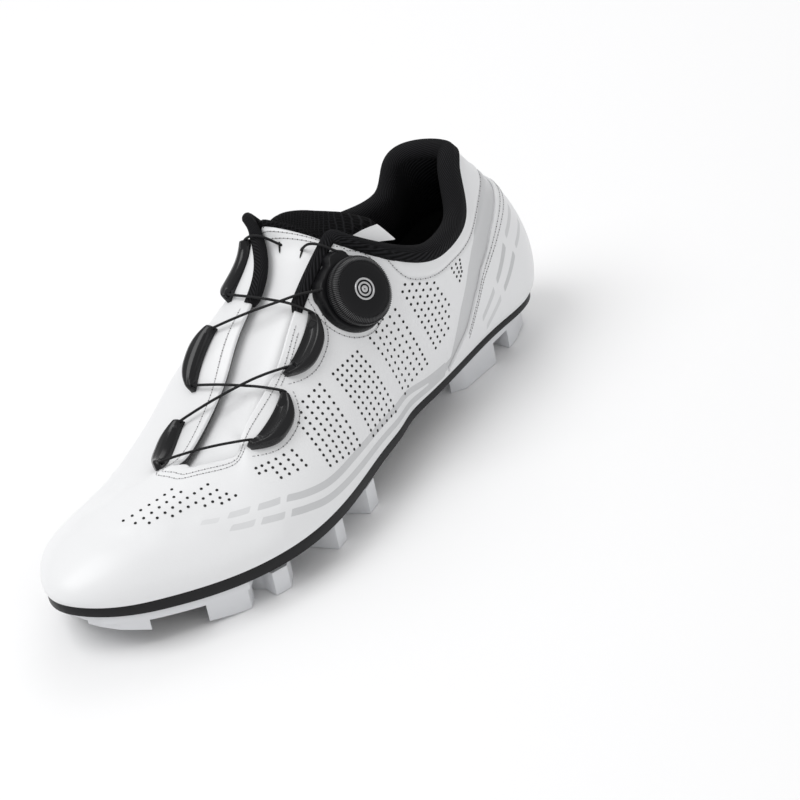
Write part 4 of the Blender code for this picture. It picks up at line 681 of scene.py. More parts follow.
# The knob's black plastic made ten times lighter for its ribs and teeth: a painted highlight along
# each rib.
dial_rib = new_material("dial_ribs", (0.050, 0.050, 0.052), 0.30, specular=0.6)
add_grain(dial_rib, 2500.0, 0.05, 0.0002)
dial_gloss = new_material("dial_face", (0.005, 0.005, 0.006), 0.45, specular=0.20)
add_grain(dial_gloss, 2500.0, 0.08, 0.0002)
ring_silver = new_material("dial_cap_paint", (0.55, 0.55, 0.56), 0.28, metallic=0.7)
guide_black = new_material("guide_plastic", (0.005, 0.005, 0.006), 0.22, specular=0.35)
add_grain(guide_black, 2500.0, 0.03, 0.0001)
lace_black = new_material("lace_cord", (0.006, 0.006, 0.007), 0.55, specular=0.25)
add_grain(lace_black, 3500.0, 0.3, 0.0002)
thread_white = new_material("thread_white", (0.50, 0.50, 0.51), 0.7)
add_grain(thread_white, 3000.0, 0.3, 0.0002)
# Painted shade of openings: flat dark discs laid on the skin for the pinholes and the tongue's lace
# slots.
opening_shade = new_material("pinhole", (0.030, 0.030, 0.030), 0.9, specular=0.1)
add_grain(opening_shade, 900.0, 0.2, 0.0002)
# Painted shade of the needle holes: grey discs set between the stitches.
painted_needle_shade = new_material("needle_hole", (0.14, 0.14, 0.14), 0.9, specular=0.1)
add_grain(painted_needle_shade, 900.0, 0.2, 0.0002)
# Dark finish for the upper's inside, and painted shade along the inner flap's cut edge where it
# lies over the tongue.
dark_inside_and_slit_shade = new_material("cut_edge", (0.020, 0.020, 0.021), 0.7)
add_grain(dark_inside_and_slit_shade, 900.0, 0.2, 0.0002)


# Building meshes


def finish_piece(name, mesh, finish, replaced=(), angle=50):
    """A piece of the shoe at the origin, riding on the root, smooth up to the given angle."""
    piece = bpy.data.objects.new(name, mesh)
    bpy.context.scene.collection.objects.link(piece)
    mesh.materials.clear()
    mesh.materials.append(finish)
    mesh.shade_smooth()
    mesh.set_sharp_from_angle(angle=math.radians(angle))
    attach(piece, "root")
    if replaced:
        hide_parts(*replaced)
    return piece


def quads(rows, columns, wrap_rows, wrap_columns):
    i = np.arange(rows if wrap_rows else rows - 1)
    j = np.arange(columns if wrap_columns else columns - 1)
    i, j = np.meshgrid(i, j, indexing="ij")
    k, m = (i + 1) % rows, (j + 1) % columns
    return np.stack([i * columns + j, i * columns + m, k * columns + m, k * columns + j],
                    -1).reshape(-1, 4)


def mesh_of(name, points, faces):
    """A mesh with its faces turned outwards."""
    mesh = bpy.data.meshes.new(name)
    mesh.from_pydata(np.asarray(points).reshape(-1, 3).tolist(), [],
                     [list(face) for face in faces])
    bm = bmesh.new()
    bm.from_mesh(mesh)
    bmesh.ops.recalc_face_normals(bm, faces=bm.faces)
    bm.to_mesh(mesh)
    bm.free()
    mesh.update()
    return mesh


def ring_mesh(name, rings, round_stack):
    """Closed rings of points stacked into a body, with its ends joined or capped."""
    rings = np.asarray(rings, float)
    rows, columns = rings.shape[:2]
    faces = quads(rows, columns, round_stack, True).tolist()
    if not round_stack:
        faces.append(list(range(columns))[::-1])
        faces.append(list(range((rows - 1) * columns, rows * columns)))
    return mesh_of(name, rings, faces)


def slab_mesh(name, outer, inner):
    """A closed slab between two grids of the same shape."""
    outer, inner = np.asarray(outer, float), np.asarray(inner, float)
    rows, columns = outer.shape[:2]
    top = quads(rows, columns, False, False)
    low = top[:, ::-1] + rows * columns
    index = np.arange(rows * columns).reshape(rows, columns)
    rim = np.concatenate([index[0, :-1], index[:-1, -1], index[-1, :0:-1], index[:0:-1, 0]])
    after = np.roll(rim, -1)
    side = np.stack([rim, rim + rows * columns, after + rows * columns, after], -1)
    return mesh_of(name, np.concatenate([outer.reshape(-1, 3), inner.reshape(-1, 3)]),
                   np.concatenate([top, low, side]).tolist())


def set_weave(mesh, across, along):
    """A UV map in metres for knitted finishes, one value for each vertex."""
    layer = mesh.uv_layers.new(name="weave")
    corner = np.zeros(len(mesh.loops), np.int32)
    mesh.loops.foreach_get("vertex_index", corner)
    across, along = np.asarray(across, float).ravel(), np.asarray(along, float).ravel()
    layer.data.foreach_set("uv", np.stack([across[corner], along[corner]], 1).ravel())


def set_values(mesh, name, values):
    found = mesh.attributes.new(name, "FLOAT", "POINT")
    found.data.foreach_set("value", np.asarray(values, np.float32))


def refine(grid, rows, columns):
    """The same surface with more rows and columns, through the same points."""

    def along_first(values, count):
        values = np.asarray(values, float)
        last = len(values) - 1
        at = np.linspace(0, last, count)
        i = np.clip(at.astype(int), 0, last - 1)
        t = (at - i).reshape((-1,) + (1,) * (values.ndim - 1))
        a, b = values[np.clip(i - 1, 0, last)], values[i]
        c, d = values[i + 1], values[np.clip(i + 2, 0, last)]
        return curve_between(a, b, c, d, t)

    fine = along_first(grid, rows)
    return np.swapaxes(along_first(np.swapaxes(fine, 0, 1), columns), 0, 1)


def grid_normals(grid):
    normal = np.cross(np.gradient(grid, axis=1), np.gradient(grid, axis=0))
    normal /= np.linalg.norm(normal, axis=-1, keepdims=True)
    return -normal if normal[:, :, 2].mean() < 0 else normal


def loose(name, mesh):
    made = bpy.data.objects.new(name, mesh)
    bpy.context.scene.collection.objects.link(made)
    return made


def evaluated_mesh(item):
    """The mesh of an object once its modifiers are worked out."""
    bpy.context.view_layer.update()
    graph = bpy.context.evaluated_depsgraph_get()
    return bpy.data.meshes.new_from_object(item.evaluated_get(graph))


def boolean(piece, others, operation, solver="EXACT"):
    for other in others:
        step = piece.modifiers.new(operation.lower(), "BOOLEAN")
        step.operation = operation
        step.solver = solver
        step.object = other
    result = evaluated_mesh(piece)
    piece.modifiers.clear()
    piece.data = result
    for other in others:
        bpy.data.objects.remove(other)


# Repeats made with Geometry Nodes


def repeat_tree(name, shape, finish):
    """Places one small shape, a thread or a disc, on every point, facing its facing value."""
    group = bpy.data.node_groups.new(name, "GeometryNodeTree")
    face = group.interface
    face.new_socket("Points", in_out="INPUT", socket_type="NodeSocketGeometry")
    for label in ("Length", "Width", "Height"):
        face.new_socket(label, in_out="INPUT", socket_type="NodeSocketFloat")
    face.new_socket("Geometry", in_out="OUTPUT", socket_type="NodeSocketGeometry")
    nodes, links = group.nodes, group.links
    start = nodes.new("NodeGroupInput")
    end = nodes.new("NodeGroupOutput")
    place = nodes.new("GeometryNodeInstanceOnPoints")
    turn = nodes.new("FunctionNodeAxesToRotation")
    turn.primary_axis, turn.secondary_axis = "Z", "X"
    for label, socket in (("facing", turn.inputs[0]), ("along", turn.inputs[1])):
        value = nodes.new("GeometryNodeInputNamedAttribute")
        value.data_type = "FLOAT_VECTOR"
        value.inputs["Name"].default_value = label
        links.new([item for item in value.outputs if item.enabled][0], socket)
    size = nodes.new("ShaderNodeCombineXYZ")
    for label, axis in (("Length", "X"), ("Width", "Y"), ("Height", "Z")):
        links.new(start.outputs[label], size.inputs[axis])
    if shape == "thread":
        body = nodes.new("GeometryNodeMeshUVSphere")
        body.inputs["Segments"].default_value = 6
        body.inputs["Rings"].default_value = 5
        body.inputs["Radius"].default_value = 0.5
    else:
        body = nodes.new("GeometryNodeMeshCylinder")
        body.inputs["Vertices"].default_value = 12
        body.inputs["Radius"].default_value = 0.5
        body.inputs["Depth"].default_value = 1.0
    scale = nodes.new("GeometryNodeTransform")
    links.new(body.outputs["Mesh"], scale.inputs["Geometry"])
    links.new(size.outputs["Vector"], scale.inputs["Scale"])
    real = nodes.new("GeometryNodeRealizeInstances")
    paint = nodes.new("GeometryNodeSetMaterial")
    paint.inputs["Material"].default_value = finish
    links.new(start.outputs["Points"], place.inputs["Points"])
    links.new(scale.outputs["Geometry"], place.inputs["Instance"])
    links.new(turn.outputs["Rotation"], place.inputs["Rotation"])
    links.new(place.outputs["Instances"], real.inputs["Geometry"])
    links.new(real.outputs["Geometry"], paint.inputs["Geometry"])
    links.new(paint.outputs["Geometry"], end.inputs["Geometry"])
    return group


def repeat_piece(name, points, facing, along, shape, length, width, height, finish):
    """One piece of many small shapes, set on points by a Geometry Nodes tree."""
    mesh = bpy.data.meshes.new(name)
    mesh.from_pydata(np.asarray(points).tolist(), [], [])
    for label, values in (("facing", facing), ("along", along)):
        kept = mesh.attributes.new(label, "FLOAT_VECTOR", "POINT")
        kept.data.foreach_set("vector", np.asarray(values, np.float32).ravel())
    base = loose(name + "_points", mesh)
    step = base.modifiers.new("repeat", "NODES")
    step.node_group = repeat_tree(name, shape, finish)
    sizes = {"Length": length, "Width": width, "Height": height}
    for item in step.node_group.interface.items_tree:
        if item.in_out == "INPUT" and item.name in sizes:
            step[item.identifier] = sizes[item.name]
    made = evaluated_mesh(base)
    bpy.data.objects.remove(base)
    for label in ("facing", "along"):
        if label in made.attributes:
            made.attributes.remove(made.attributes[label])
    return finish_piece(name, made, finish, angle=50)


# Upper


FLAT = np.array([SKIN_ROUND, 0.07])     # round and up the upper, in metres for one unit


def flat_outline(points):
    return np.asarray(points, float) * FLAT


def stripe_values(spots, stripes, mask, tone):
    """Adds stripes to a mask of distances, with slanted ends."""
    for stripe in stripes:
        line = np.array(stripe.line)
        before = line[0] * (1 + STRIPE_RUNOUT) - line[1] * STRIPE_RUNOUT
        after = line[-1] * (1 + STRIPE_RUNOUT) - line[-2] * STRIPE_RUNOUT
        path = smooth_path(np.concatenate([[before], line, [after]]), LINE_STEP)
        found = stripe.half - distance_to_path(spots, skin(path[:, 0], path[:, 1]))
        for end, ahead, slant in ((line[0], line[1], STRIPE_SLANT),
                                  (line[-1], line[-2], -STRIPE_SLANT)):
            spot, rise, _ = skin_frame(*end)
            inward = skin(*(end * 0.9 + ahead * 0.1)) - spot
            inward = inward / np.linalg.norm(inward) + rise * slant
            found = np.minimum(found, (spots - spot) @ (inward / np.linalg.norm(inward)))
        tone[found > mask] = stripe.tone
        mask = np.maximum(mask, found)
    return mask, tone


def upper_relief(spots):
    """How far the skin stands proud or sinks: creases, then the collar's seam."""
    height = np.zeros(len(spots))
    for crease in CREASES:
        path = smooth_path([crease.start, crease.end], CREASE_STEP)
        line = skin(path[:, 0], path[:, 1])
        away = distance_to_path(spots, line)
        ends = np.minimum(np.linalg.norm(spots - line[0], axis=1),
                          np.linalg.norm(spots - line[-1], axis=1))
        fade = np.clip(ends / (CREASE_FADE * crease.width), 0, 1)
        height += crease.depth * np.exp(-(away / crease.width) ** 2 * 2) * fade
    path = smooth_path(COLLAR_SEAM, LINE_STEP)
    away = distance_to_path(spots, skin(path[:, 0], path[:, 1]))
    height -= SEAM_DEPTH * np.exp(-(away / SEAM_WIDTH) ** 2)
    height += SEAM_DEPTH * np.exp(-((away - SEAM_SWELL_AWAY) / SEAM_SWELL_WIDTH) ** 2)
    return height


def make_upper():
    """The upper's shell, with its creases, seam and stripes, a dark inside, and painted shade along
    the inner flap's cut edge.
    """
    columns = 600
    rows = 112
    places = np.linspace(0, 1, columns, endpoint=False)
    shares = np.linspace(0, 1, rows)
    p, v = np.meshgrid(places, shares)
    spots, _, normals = skin_frame(p.ravel(), v.ravel())
    height = upper_relief(spots)
    fade = np.clip(np.minimum(v, 1 - v).ravel() / RIM_FADE, 0, 1)
    outer = (spots + normals * (height * fade)[:, None]).reshape(rows, columns, 3)
    over = []
    for offset, lift in ((0.0004, 0.0003), (0.0012, 0.0004), (0.0020, 0.0003)):
        edge, rise, normal = skin_frame(places, np.ones(columns))
        over.append(edge + rise * lift - normal * offset)
    inner_shares = np.linspace(1, 0, 12)
    inner = [shell(places, np.full(columns, s), np.full(columns, -WALL)) for s in inner_shares]
    inner[-1][:, 2] = outer[0][:, 2]
    rings = np.concatenate([outer, np.array(over), np.array(inner)])
    mesh = ring_mesh("shoe_upper", rings, True)
    flat = np.stack([p.ravel(), v.ravel()], 1) * FLAT
    mask = np.maximum(inside_distance(flat, flat_outline(STRIPE_REAR)), FAR_OUTSIDE)
    mask, tone = stripe_values(spots, STRIPES, mask, np.ones(len(mask)))
    values = np.full(len(rings) * columns, FAR_OUTSIDE * 1000)
    values[:len(flat)] = mask * 1000
    tones = np.ones(len(values))
    tones[:len(flat)] = tone
    set_values(mesh, "stripe", values)
    set_values(mesh, "tone", tones)
    finish_piece("shoe_upper", mesh, leather, ["upper"], angle=60)
    # Faces inside the upper are dark. Along the inner flap's cut edge, the rim's inner half is
    # painted dark as the shade where the flap lies over the tongue.
    mesh.materials.append(dark_inside_and_slit_shade)
    ring = np.arange(len(rings) * columns) // columns
    place = places[np.arange(len(rings) * columns) % columns]
    dark_inside_and_slit_rings = (ring > rows + 2) | ((ring > rows) & (place > SLIT[0]) & (place < SLIT[1]))
    corner = np.zeros(len(mesh.polygons) * 4, np.int32)
    mesh.polygons.foreach_get("vertices", corner)
    dark_inside_and_slit_faces = dark_inside_and_slit_rings[corner].reshape(-1, 4).all(1)
    mesh.polygons.foreach_set("material_index", dark_inside_and_slit_faces.astype(np.int32))


def make_counter():
    """The moulded overlay round the heel, thin at its edges, with its grey dashes."""
    count = 180
    places = np.linspace(COUNTER[0].place, COUNTER[-1].place, count)
    tops = table_curve(COUNTER, "top", places)
    rows = 40
    shares = COUNTER_FOOT + (tops[:, None] - COUNTER_FOOT) * np.linspace(0, 1, rows)
    spread = np.repeat(places[:, None], rows, 1)
    inset = np.minimum(np.linspace(0, 1, rows), 1 - np.linspace(0, 1, rows))[None] * rows
    edge = np.clip(np.minimum(inset, np.minimum(np.arange(count), np.arange(count)[::-1])[:, None]),
                   0, 2) / 2
    near = shell(spread, shares, np.full(shares.shape, GAP * 0.3))
    far = shell(spread, shares, GAP + COUNTER_THICKNESS * (0.55 + 0.45 * np.sqrt(edge)))
    mesh = slab_mesh("shoe_counter", far, near)
    flat = np.stack([spread.ravel(), shares.ravel()], 1) * FLAT
    blank = np.full(len(flat), FAR_OUTSIDE)
    mask, tone = stripe_values(skin(spread.ravel(), shares.ravel()), COUNTER_DASHES, blank,
                               np.ones(len(flat)))
    set_values(mesh, "stripe", np.concatenate([mask, blank]) * 1000)
    set_values(mesh, "tone", np.concatenate([tone, tone]))
    finish_piece("shoe_counter", mesh, counter_leather, ["heel_counter"], angle=60)


def rim_frame(place):
    """Points over the upper's rim at a place, by height off the rim and depth inward."""
    edge, rise, normal = (item[()] for item in skin_frame(place, 1.0))
    run = skin(place + NUDGE, 1.0) - skin(place - NUDGE, 1.0)
    square = np.cross(normal, run)
    square = square / np.linalg.norm(square)
    if square @ rise < 0:
        square = -square

    def over(height, inward):
        return edge + square * height - normal * inward

    return over


def make_bindings():
    """Woven tapes folded over both throat edges."""
    for name, first, last in BINDINGS:
        rings = []
        places = np.linspace(first, last, TAPE_STATIONS)
        for place in places:
            over = rim_frame(place)
            end = min(abs(place - first), abs(place - last)) / BINDING_TAPER
            height = BINDING_HEIGHT * min(1.0, 0.45 + end)
            ring = [over(-0.0028, -0.0003), over(-0.0020, -0.0010)]
            for turn in np.linspace(-0.9, 0.9, 7):
                angle = math.pi / 2 * turn
                reach = WALL / 2 + 0.0010
                ring.append(over(height * math.cos(angle) ** 0.7,
                                 WALL / 2 + reach * math.sin(angle)))
            ring += [over(-0.0010, WALL + 0.0009), over(-0.0018, WALL + 0.0003)]
            rings.append(ring)
        mesh = ring_mesh("shoe_" + name, rings, False)
        count = len(rings[0])
        run = np.linspace(0, (last - first) * SKIN_ROUND, TAPE_STATIONS)
        along = np.repeat(run, count)
        across = np.tile(np.linspace(0, TAPE_WIDTH, count), TAPE_STATIONS)
        set_weave(mesh, across, along)
        finish_piece("shoe_" + name, mesh, binding_knit, [name], angle=70)


def make_cuff():
    """Padded collar: a roll over the rim and a padded lining down the inside."""
    count = 240
    places = np.linspace(COLLAR[0].place, COLLAR[-1].place, count)
    rings = []
    for place in places:
        roll, pad, reach = (float(table_curve(COLLAR, field, place))
                            for field in ("roll", "pad", "reach"))
        over = rim_frame(place)
        depth = LINING_DEPTH + pad
        ring = [over(-0.0026, -0.0003), over(-0.0016, -0.0011)]
        for turn in np.linspace(-0.82, 0.95, 10):
            angle = math.pi / 2 * turn
            middle = (depth - 0.0010) / 2
            ring.append(over(roll * math.cos(angle) ** 0.75,
                             middle + (depth + 0.0010) / 2 * math.sin(angle)))
        for share in np.linspace(1.0, 0.0, 14):
            v = reach + (1.0 - reach) * share
            thick = LINING_DEPTH + pad * (0.25 + 0.75 * min(1.0, 1.7 * share) ** 0.8)
            ring.append(shell(place, v, -thick))
        for share in np.linspace(0.0, 0.97, 5):
            ring.append(shell(place, reach + (1.0 - reach) * share, -LINING_DEPTH + 0.0003))
        rings.append(ring)
    mesh = ring_mesh("shoe_cuff", rings, False)
    size = len(rings[0])
    along = np.repeat(np.linspace(0, CUFF_ROUND, count), size)
    across = np.tile(np.linspace(0, CUFF_WIDTH, size), count)
    set_weave(mesh, across, along)
    piece = finish_piece("shoe_cuff", mesh, collar_knit, ["collar_lining"], angle=70)


# Tongue


def throat_pair(along):
    """The places on both throat edges at a share of the shoe's length."""
    found = []
    for low, high in ((0.040, 0.289), (0.705, 0.935)):
        places = np.linspace(low, high, 200)
        alongs = 0.5 - (skin(places, np.ones(200))[:, 1] - SHIFT[1]) / SHOE_LENGTH
        order = np.argsort(alongs)
        found.append(float(np.interp(along, alongs[order], places[order])))
    return found


def tongue_row(along):
    """Points across the tongue at a share of the shoe's length, tucked under both flaps."""
    top = float(np.interp(along, TONGUE_FLATTENS, (1.0, 0.0)))
    outer_place = throat_pair(along - TONGUE_SKEW[0] * top)[0]
    inner_place = throat_pair(along + TONGUE_SKEW[1] * top)[1]
    crown = 1.0 - (1.0 - TONGUE_TOP_CROWN) * top
    tucked = np.array([TONGUE_TUCK, (TONGUE_TUCK + 1) / 2])
    left = shell(np.full(2, outer_place), tucked, np.full(2, -TONGUE_OFFSET))
    right = shell(np.full(2, inner_place), tucked, np.full(2, -TONGUE_OFFSET))
    ends = []
    for place in (outer_place, inner_place):
        point, rise, normal = skin_frame(place, 1.0)
        ends.append((point - normal * TONGUE_OFFSET, rise))
    (start, start_rise), (stop, stop_rise) = ends
    span = crown * np.linalg.norm(stop - start)
    u = np.linspace(0, 1, TONGUE_ACROSS)[:, None]
    middle = ((1 + 2 * u) * (1 - u) ** 2 * start + u * (1 - u) ** 2 * span * start_rise
              + u ** 2 * (3 - 2 * u) * stop - u ** 2 * (u - 1) * span * stop_rise)
    return np.concatenate([left, middle, right[::-1]])


def tongue_surface():
    """Rows of points over the tongue from the toe to its top, and its thickness at each row."""
    rows = [tongue_row(TONGUE_STATIONS[0]) + np.array(TONGUE_FRONT)]
    for along in TONGUE_STATIONS:
        rows.append(tongue_row(along))
    thick = [TONGUE_WALL] * len(rows)
    last = rows[-1]
    for _ in range(14):
        last = np.concatenate([last[:1], (last[:-2] + 2 * last[1:-1] + last[2:]) / 4, last[-1:]])
    centre = last.mean(0)
    for step in TONGUE_TOP:
        moved = centre + (last - centre) * np.array([step.narrow, 1.0, 1.0])
        across = (moved - centre)[:, :1]
        moved = moved + across * np.array([0.0, step.turn, step.tilt])
        moved[:len(TONGUE_SPREAD)] += np.array(TONGUE_SPREAD) * step.spread
        rows.append(moved + np.array([0.0, step.back, step.rise]))
        thick.append(step.thick)
    return np.array(rows), np.array(thick)


def rows_at(grid, at):
    """The grid's rows at other row numbers, one for each place of at, on a smooth curve."""
    last = len(grid) - 1
    i = np.clip(at.astype(int), 0, last - 1)
    col = np.broadcast_to(np.arange(grid.shape[1]), at.shape)
    t = (at - i)[..., None]
    a, b = grid[np.clip(i - 1, 0, last), col], grid[i, col]
    c, d = grid[i + 1, col], grid[np.clip(i + 2, 0, last), col]
    return curve_between(a, b, c, d, t)


def make_tongue():
    """Leather tongue whose padded top is black knit."""
    rows, thick = tongue_surface()
    leather_rows, knit_rows, across = ((130, 60, 110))
    side = np.linspace(0, 1, across)
    last = len(rows) - 1
    seam = KNIT_FROM[0] + (KNIT_FROM[1] - KNIT_FROM[0]) * side
    low = np.linspace(0, 1, leather_rows)[:, None] * seam
    high = seam + np.linspace(0, 1, knit_rows)[1:, None] * (last - seam)
    row = np.concatenate([low, high])
    top = rows_at(refine(rows, len(rows), across), row)
    normal = grid_normals(top)
    depth = np.interp(row, np.arange(len(thick)), thick)
    past = row - seam
    swell = np.clip((side - KNIT_SIDE) / 0.03, 0, 1) * np.clip((1 - side) / 0.05, 0, 1) ** 0.5
    pad = np.sqrt(np.clip(past / 0.5, 0, 1)) * swell * TONGUE_SWELL
    press = -TONGUE_PRESS * np.exp(-(past / 0.10) ** 2) * swell
    round_end = np.clip((last - row) / 1.2, 0, 1) ** 0.5
    surface = top + normal * (pad * round_end + press)[..., None]
    under = top - normal * depth[..., None]
    count = len(row)
    mesh = slab_mesh("shoe_tongue", surface, under)
    piece = finish_piece("shoe_tongue", mesh, tongue_leather, ["tongue"], angle=70)
    step = np.linalg.norm(np.diff(top[:, across // 2], axis=0), axis=1)
    along = np.concatenate([[0], np.cumsum(step)])
    width = np.linalg.norm(np.diff(top[leather_rows], axis=0), axis=1)
    wide = np.concatenate([[0], np.cumsum(width)])
    u, w = np.meshgrid(wide, along)
    set_weave(mesh, np.concatenate([u.ravel(), u.ravel()]), np.concatenate([w.ravel(), w.ravel()]))
    mesh.materials.append(tongue_knit)
    index = np.ones(len(mesh.polygons), np.int32)
    top_faces = index[:(count - 1) * (across - 1)].reshape(count - 1, across - 1)
    top_faces[:leather_rows - 1] = 0
    top_faces[:, :int(KNIT_SIDE * across)] = 0
    mesh.polygons.foreach_set("material_index", index)


def tongue_line(past, first, last, count):
    """A row of points across the tongue, by rows past the knit's seam, and its directions."""
    rows, _ = tongue_surface()
    side = np.linspace(0, 1, 111)
    fine = refine(rows, len(rows), 111)
    seam = KNIT_FROM[0] + (KNIT_FROM[1] - KNIT_FROM[0]) * side
    near = rows_at(fine, np.stack([seam + past - 0.1, seam + past, seam + past + 0.1]))
    normal = grid_normals(near)[1]
    keep = np.linspace(first, last, count).round().astype(int)
    return near[1][keep], normal[keep], np.gradient(near[1], axis=0)[keep]


# Sole


def sole_line(inset):
    """The outer and the inner side of the sole line from heel to toe, set in by some way."""
    places = np.linspace(0.0, 1.0, 1201)[:-1]
    foot, _, _, _, outward = column(places)
    line = foot - outward * inset
    line[:, 2] = foot[:, 2]
    toe, heel = int(np.argmin(line[:, 1])), int(np.argmax(line[:, 1]))
    turned = np.roll(line, -toe, 0)
    heel = (heel - toe) % len(places)
    return turned[:heel + 1][::-1], np.concatenate([turned[heel:], turned[:1]])


def along_of(y):
    return 0.5 - (y - SHIFT[1]) / SHOE_LENGTH


def loft_between(name, inset, top_of, bottom_of, across=6):
    """A body between two heights, following the sole line set in by some way."""
    outer, inner = sole_line(inset)
    back, front = outer[0, 1], outer[-1, 1]
    turn = np.linspace(0.008, 0.992, SOLE_STATIONS)
    ys = back + (front - back) * (1 - np.cos(np.pi * turn)) / 2
    rings = []
    for y in ys:
        ends = [np.array([np.interp(-y, -line[:, 1], line[:, 0]), y,
                          np.interp(-y, -line[:, 1], line[:, 2])]) for line in (outer, inner)]
        row = [ends[0] + (ends[1] - ends[0]) * share for share in np.linspace(0, 1, across)]
        upper = [(x, yy, top_of(along_of(y), z)) for x, yy, z in row]
        lower = [(x, yy, bottom_of(along_of(y), z)) for x, yy, z in row]
        rings.append(upper + lower[::-1])
    return ring_mesh(name, rings, False)


def band(along):
    return table_curve(SOLE_EDGE, "band", along, "along") * STACK_HEIGHT


def lift(along):
    return table_curve(SOLE_EDGE, "lift", along, "along") * STACK_HEIGHT


def plate_under(along, line_height):
    return line_height - GAP - band(along)


def under_height(x, y):
    outer, inner = sole_line(PLATE_INSET)
    ends = [(np.interp(-y, -line[:, 1], line[:, 0]), np.interp(-y, -line[:, 1], line[:, 2]))
            for line in (outer, inner)]
    (x_outer, z_outer), (x_inner, z_inner) = ends
    share = np.clip((x_outer - x) / (x_outer - x_inner), 0, 1)
    return float(plate_under(along_of(y), z_outer + (z_inner - z_outer) * share))


def plan(points):
    return [(float(shoe_x(across)), float(shoe_y(along))) for along, across in points]


def prism_mesh(name, outline, bottom, top):
    bm = bmesh.new()
    face = bm.faces.new([bm.verts.new((x, y, bottom)) for x, y in outline])
    made = bmesh.ops.extrude_face_region(bm, geom=[face])
    moved = [item for item in made["geom"] if isinstance(item, bmesh.types.BMVert)]
    bmesh.ops.translate(bm, verts=moved, vec=(0, 0, top - bottom))
    bmesh.ops.recalc_face_normals(bm, faces=bm.faces)
    mesh = bpy.data.meshes.new(name)
    bm.to_mesh(mesh)
    bm.free()
    return mesh


def post_mesh(name, x, y, radius, bottom, top, top_radius=None):
    bm = bmesh.new()
    bmesh.ops.create_cone(
        bm, cap_ends=True, segments=40, radius1=radius,
        radius2=radius if top_radius is None else top_radius, depth=top - bottom,
        matrix=Matrix.Translation((x, y, (bottom + top) / 2)))
    mesh = bpy.data.meshes.new(name)
    bm.to_mesh(mesh)
    bm.free()
    return mesh


def screw_places():
    x, y = float(shoe_x(SCREWS_ACROSS)), float(shoe_y(SCREWS_ALONG))
    return [(x + side * SCREW_SPACING / 2, y) for side in (1, -1)]


def groove_outline(points, width):
    """The plan of a bent groove of even width."""
    path = [Vector(point) for point in plan(points)]
    sides = []
    for side in (1, -1):
        row = []
        for i, point in enumerate(path):
            before, after = path[max(i - 1, 0)], path[min(i + 1, len(path) - 1)]
            first = (point - before).normalized() if i else (after - point).normalized()
            last = (after - point).normalized() if i < len(path) - 1 else first
            tangent = (first + last).normalized()
            normal = Vector((-tangent.y, tangent.x))
            stretch = 1 / max(0.35, normal.dot(Vector((-first.y, first.x))))
            row.append(point + normal * side * width / 2 * stretch)
        sides.append(row)
    return [tuple(point) for point in sides[0] + sides[1][::-1]]


def bevel(piece, width):
    step = piece.modifiers.new("edges", "BEVEL")
    step.width = width
    step.segments = 2
    step.limit_method = "ANGLE"
    step.angle_limit = math.radians(40)
    result = evaluated_mesh(piece)
    piece.modifiers.clear()
    piece.data = result


def make_plate():
    """Nylon plate with two screw bosses, cleat slots and chevron grooves."""
    plate = loose("plate", loft_between("plate", PLATE_INSET, lambda along, z: z - 0.0001,
                                        plate_under))
    bosses, cuts = [], []
    for x, y in screw_places():
        under = under_height(x, y)
        bosses.append(loose("boss", post_mesh("boss", x, y, BOSS / 2, under - BOSS_HEIGHT,
                                              under + band(SCREWS_ALONG) / 2)))
        cuts.append(loose("recess", post_mesh("recess", x, y, BOSS_RECESS / 2,
                                              under - 2 * BOSS_HEIGHT,
                                              under - BOSS_HEIGHT + BOSS_RECESS_DEPTH)))
    boolean(plate, bosses, "UNION")
    middle = float(shoe_y(CLEAT_ALONG))
    for side in (1, -1):
        x = float(shoe_x(CLEAT_ACROSS)) + side * BOLT_ROW / 2
        reach = BOLT_COLUMN / 2 + SLOT_WIDTH / 2 + SLOT_OVERRUN
        corners = []
        for end in (1, -1):
            centre = middle + end * (reach - SLOT_WIDTH / 2)
            for k in range(11):
                angle = math.pi * k / 10 + (0 if end > 0 else math.pi)
                corners.append((x + SLOT_WIDTH / 2 * math.cos(angle),
                                centre + SLOT_WIDTH / 2 * math.sin(angle)))
        under = under_height(x, middle)
        cuts.append(loose("slot", prism_mesh("slot", corners, under - 0.01, under + SLOT_DEPTH)))
    for points in CHEVRONS:
        x, y = plan(points)[0]
        under = under_height(x, y)
        cuts.append(loose("chevron", prism_mesh("chevron", groove_outline(points, CHEVRON_WIDTH),
                                                under - 0.01, under + CHEVRON_DEPTH)))
    boolean(plate, cuts, "DIFFERENCE")
    bevel(plate, PLATE_EDGE)
    mesh = plate.data
    bpy.data.objects.remove(plate)
    finish_piece("shoe_plate", mesh, nylon, ["sole_plate"], angle=35)


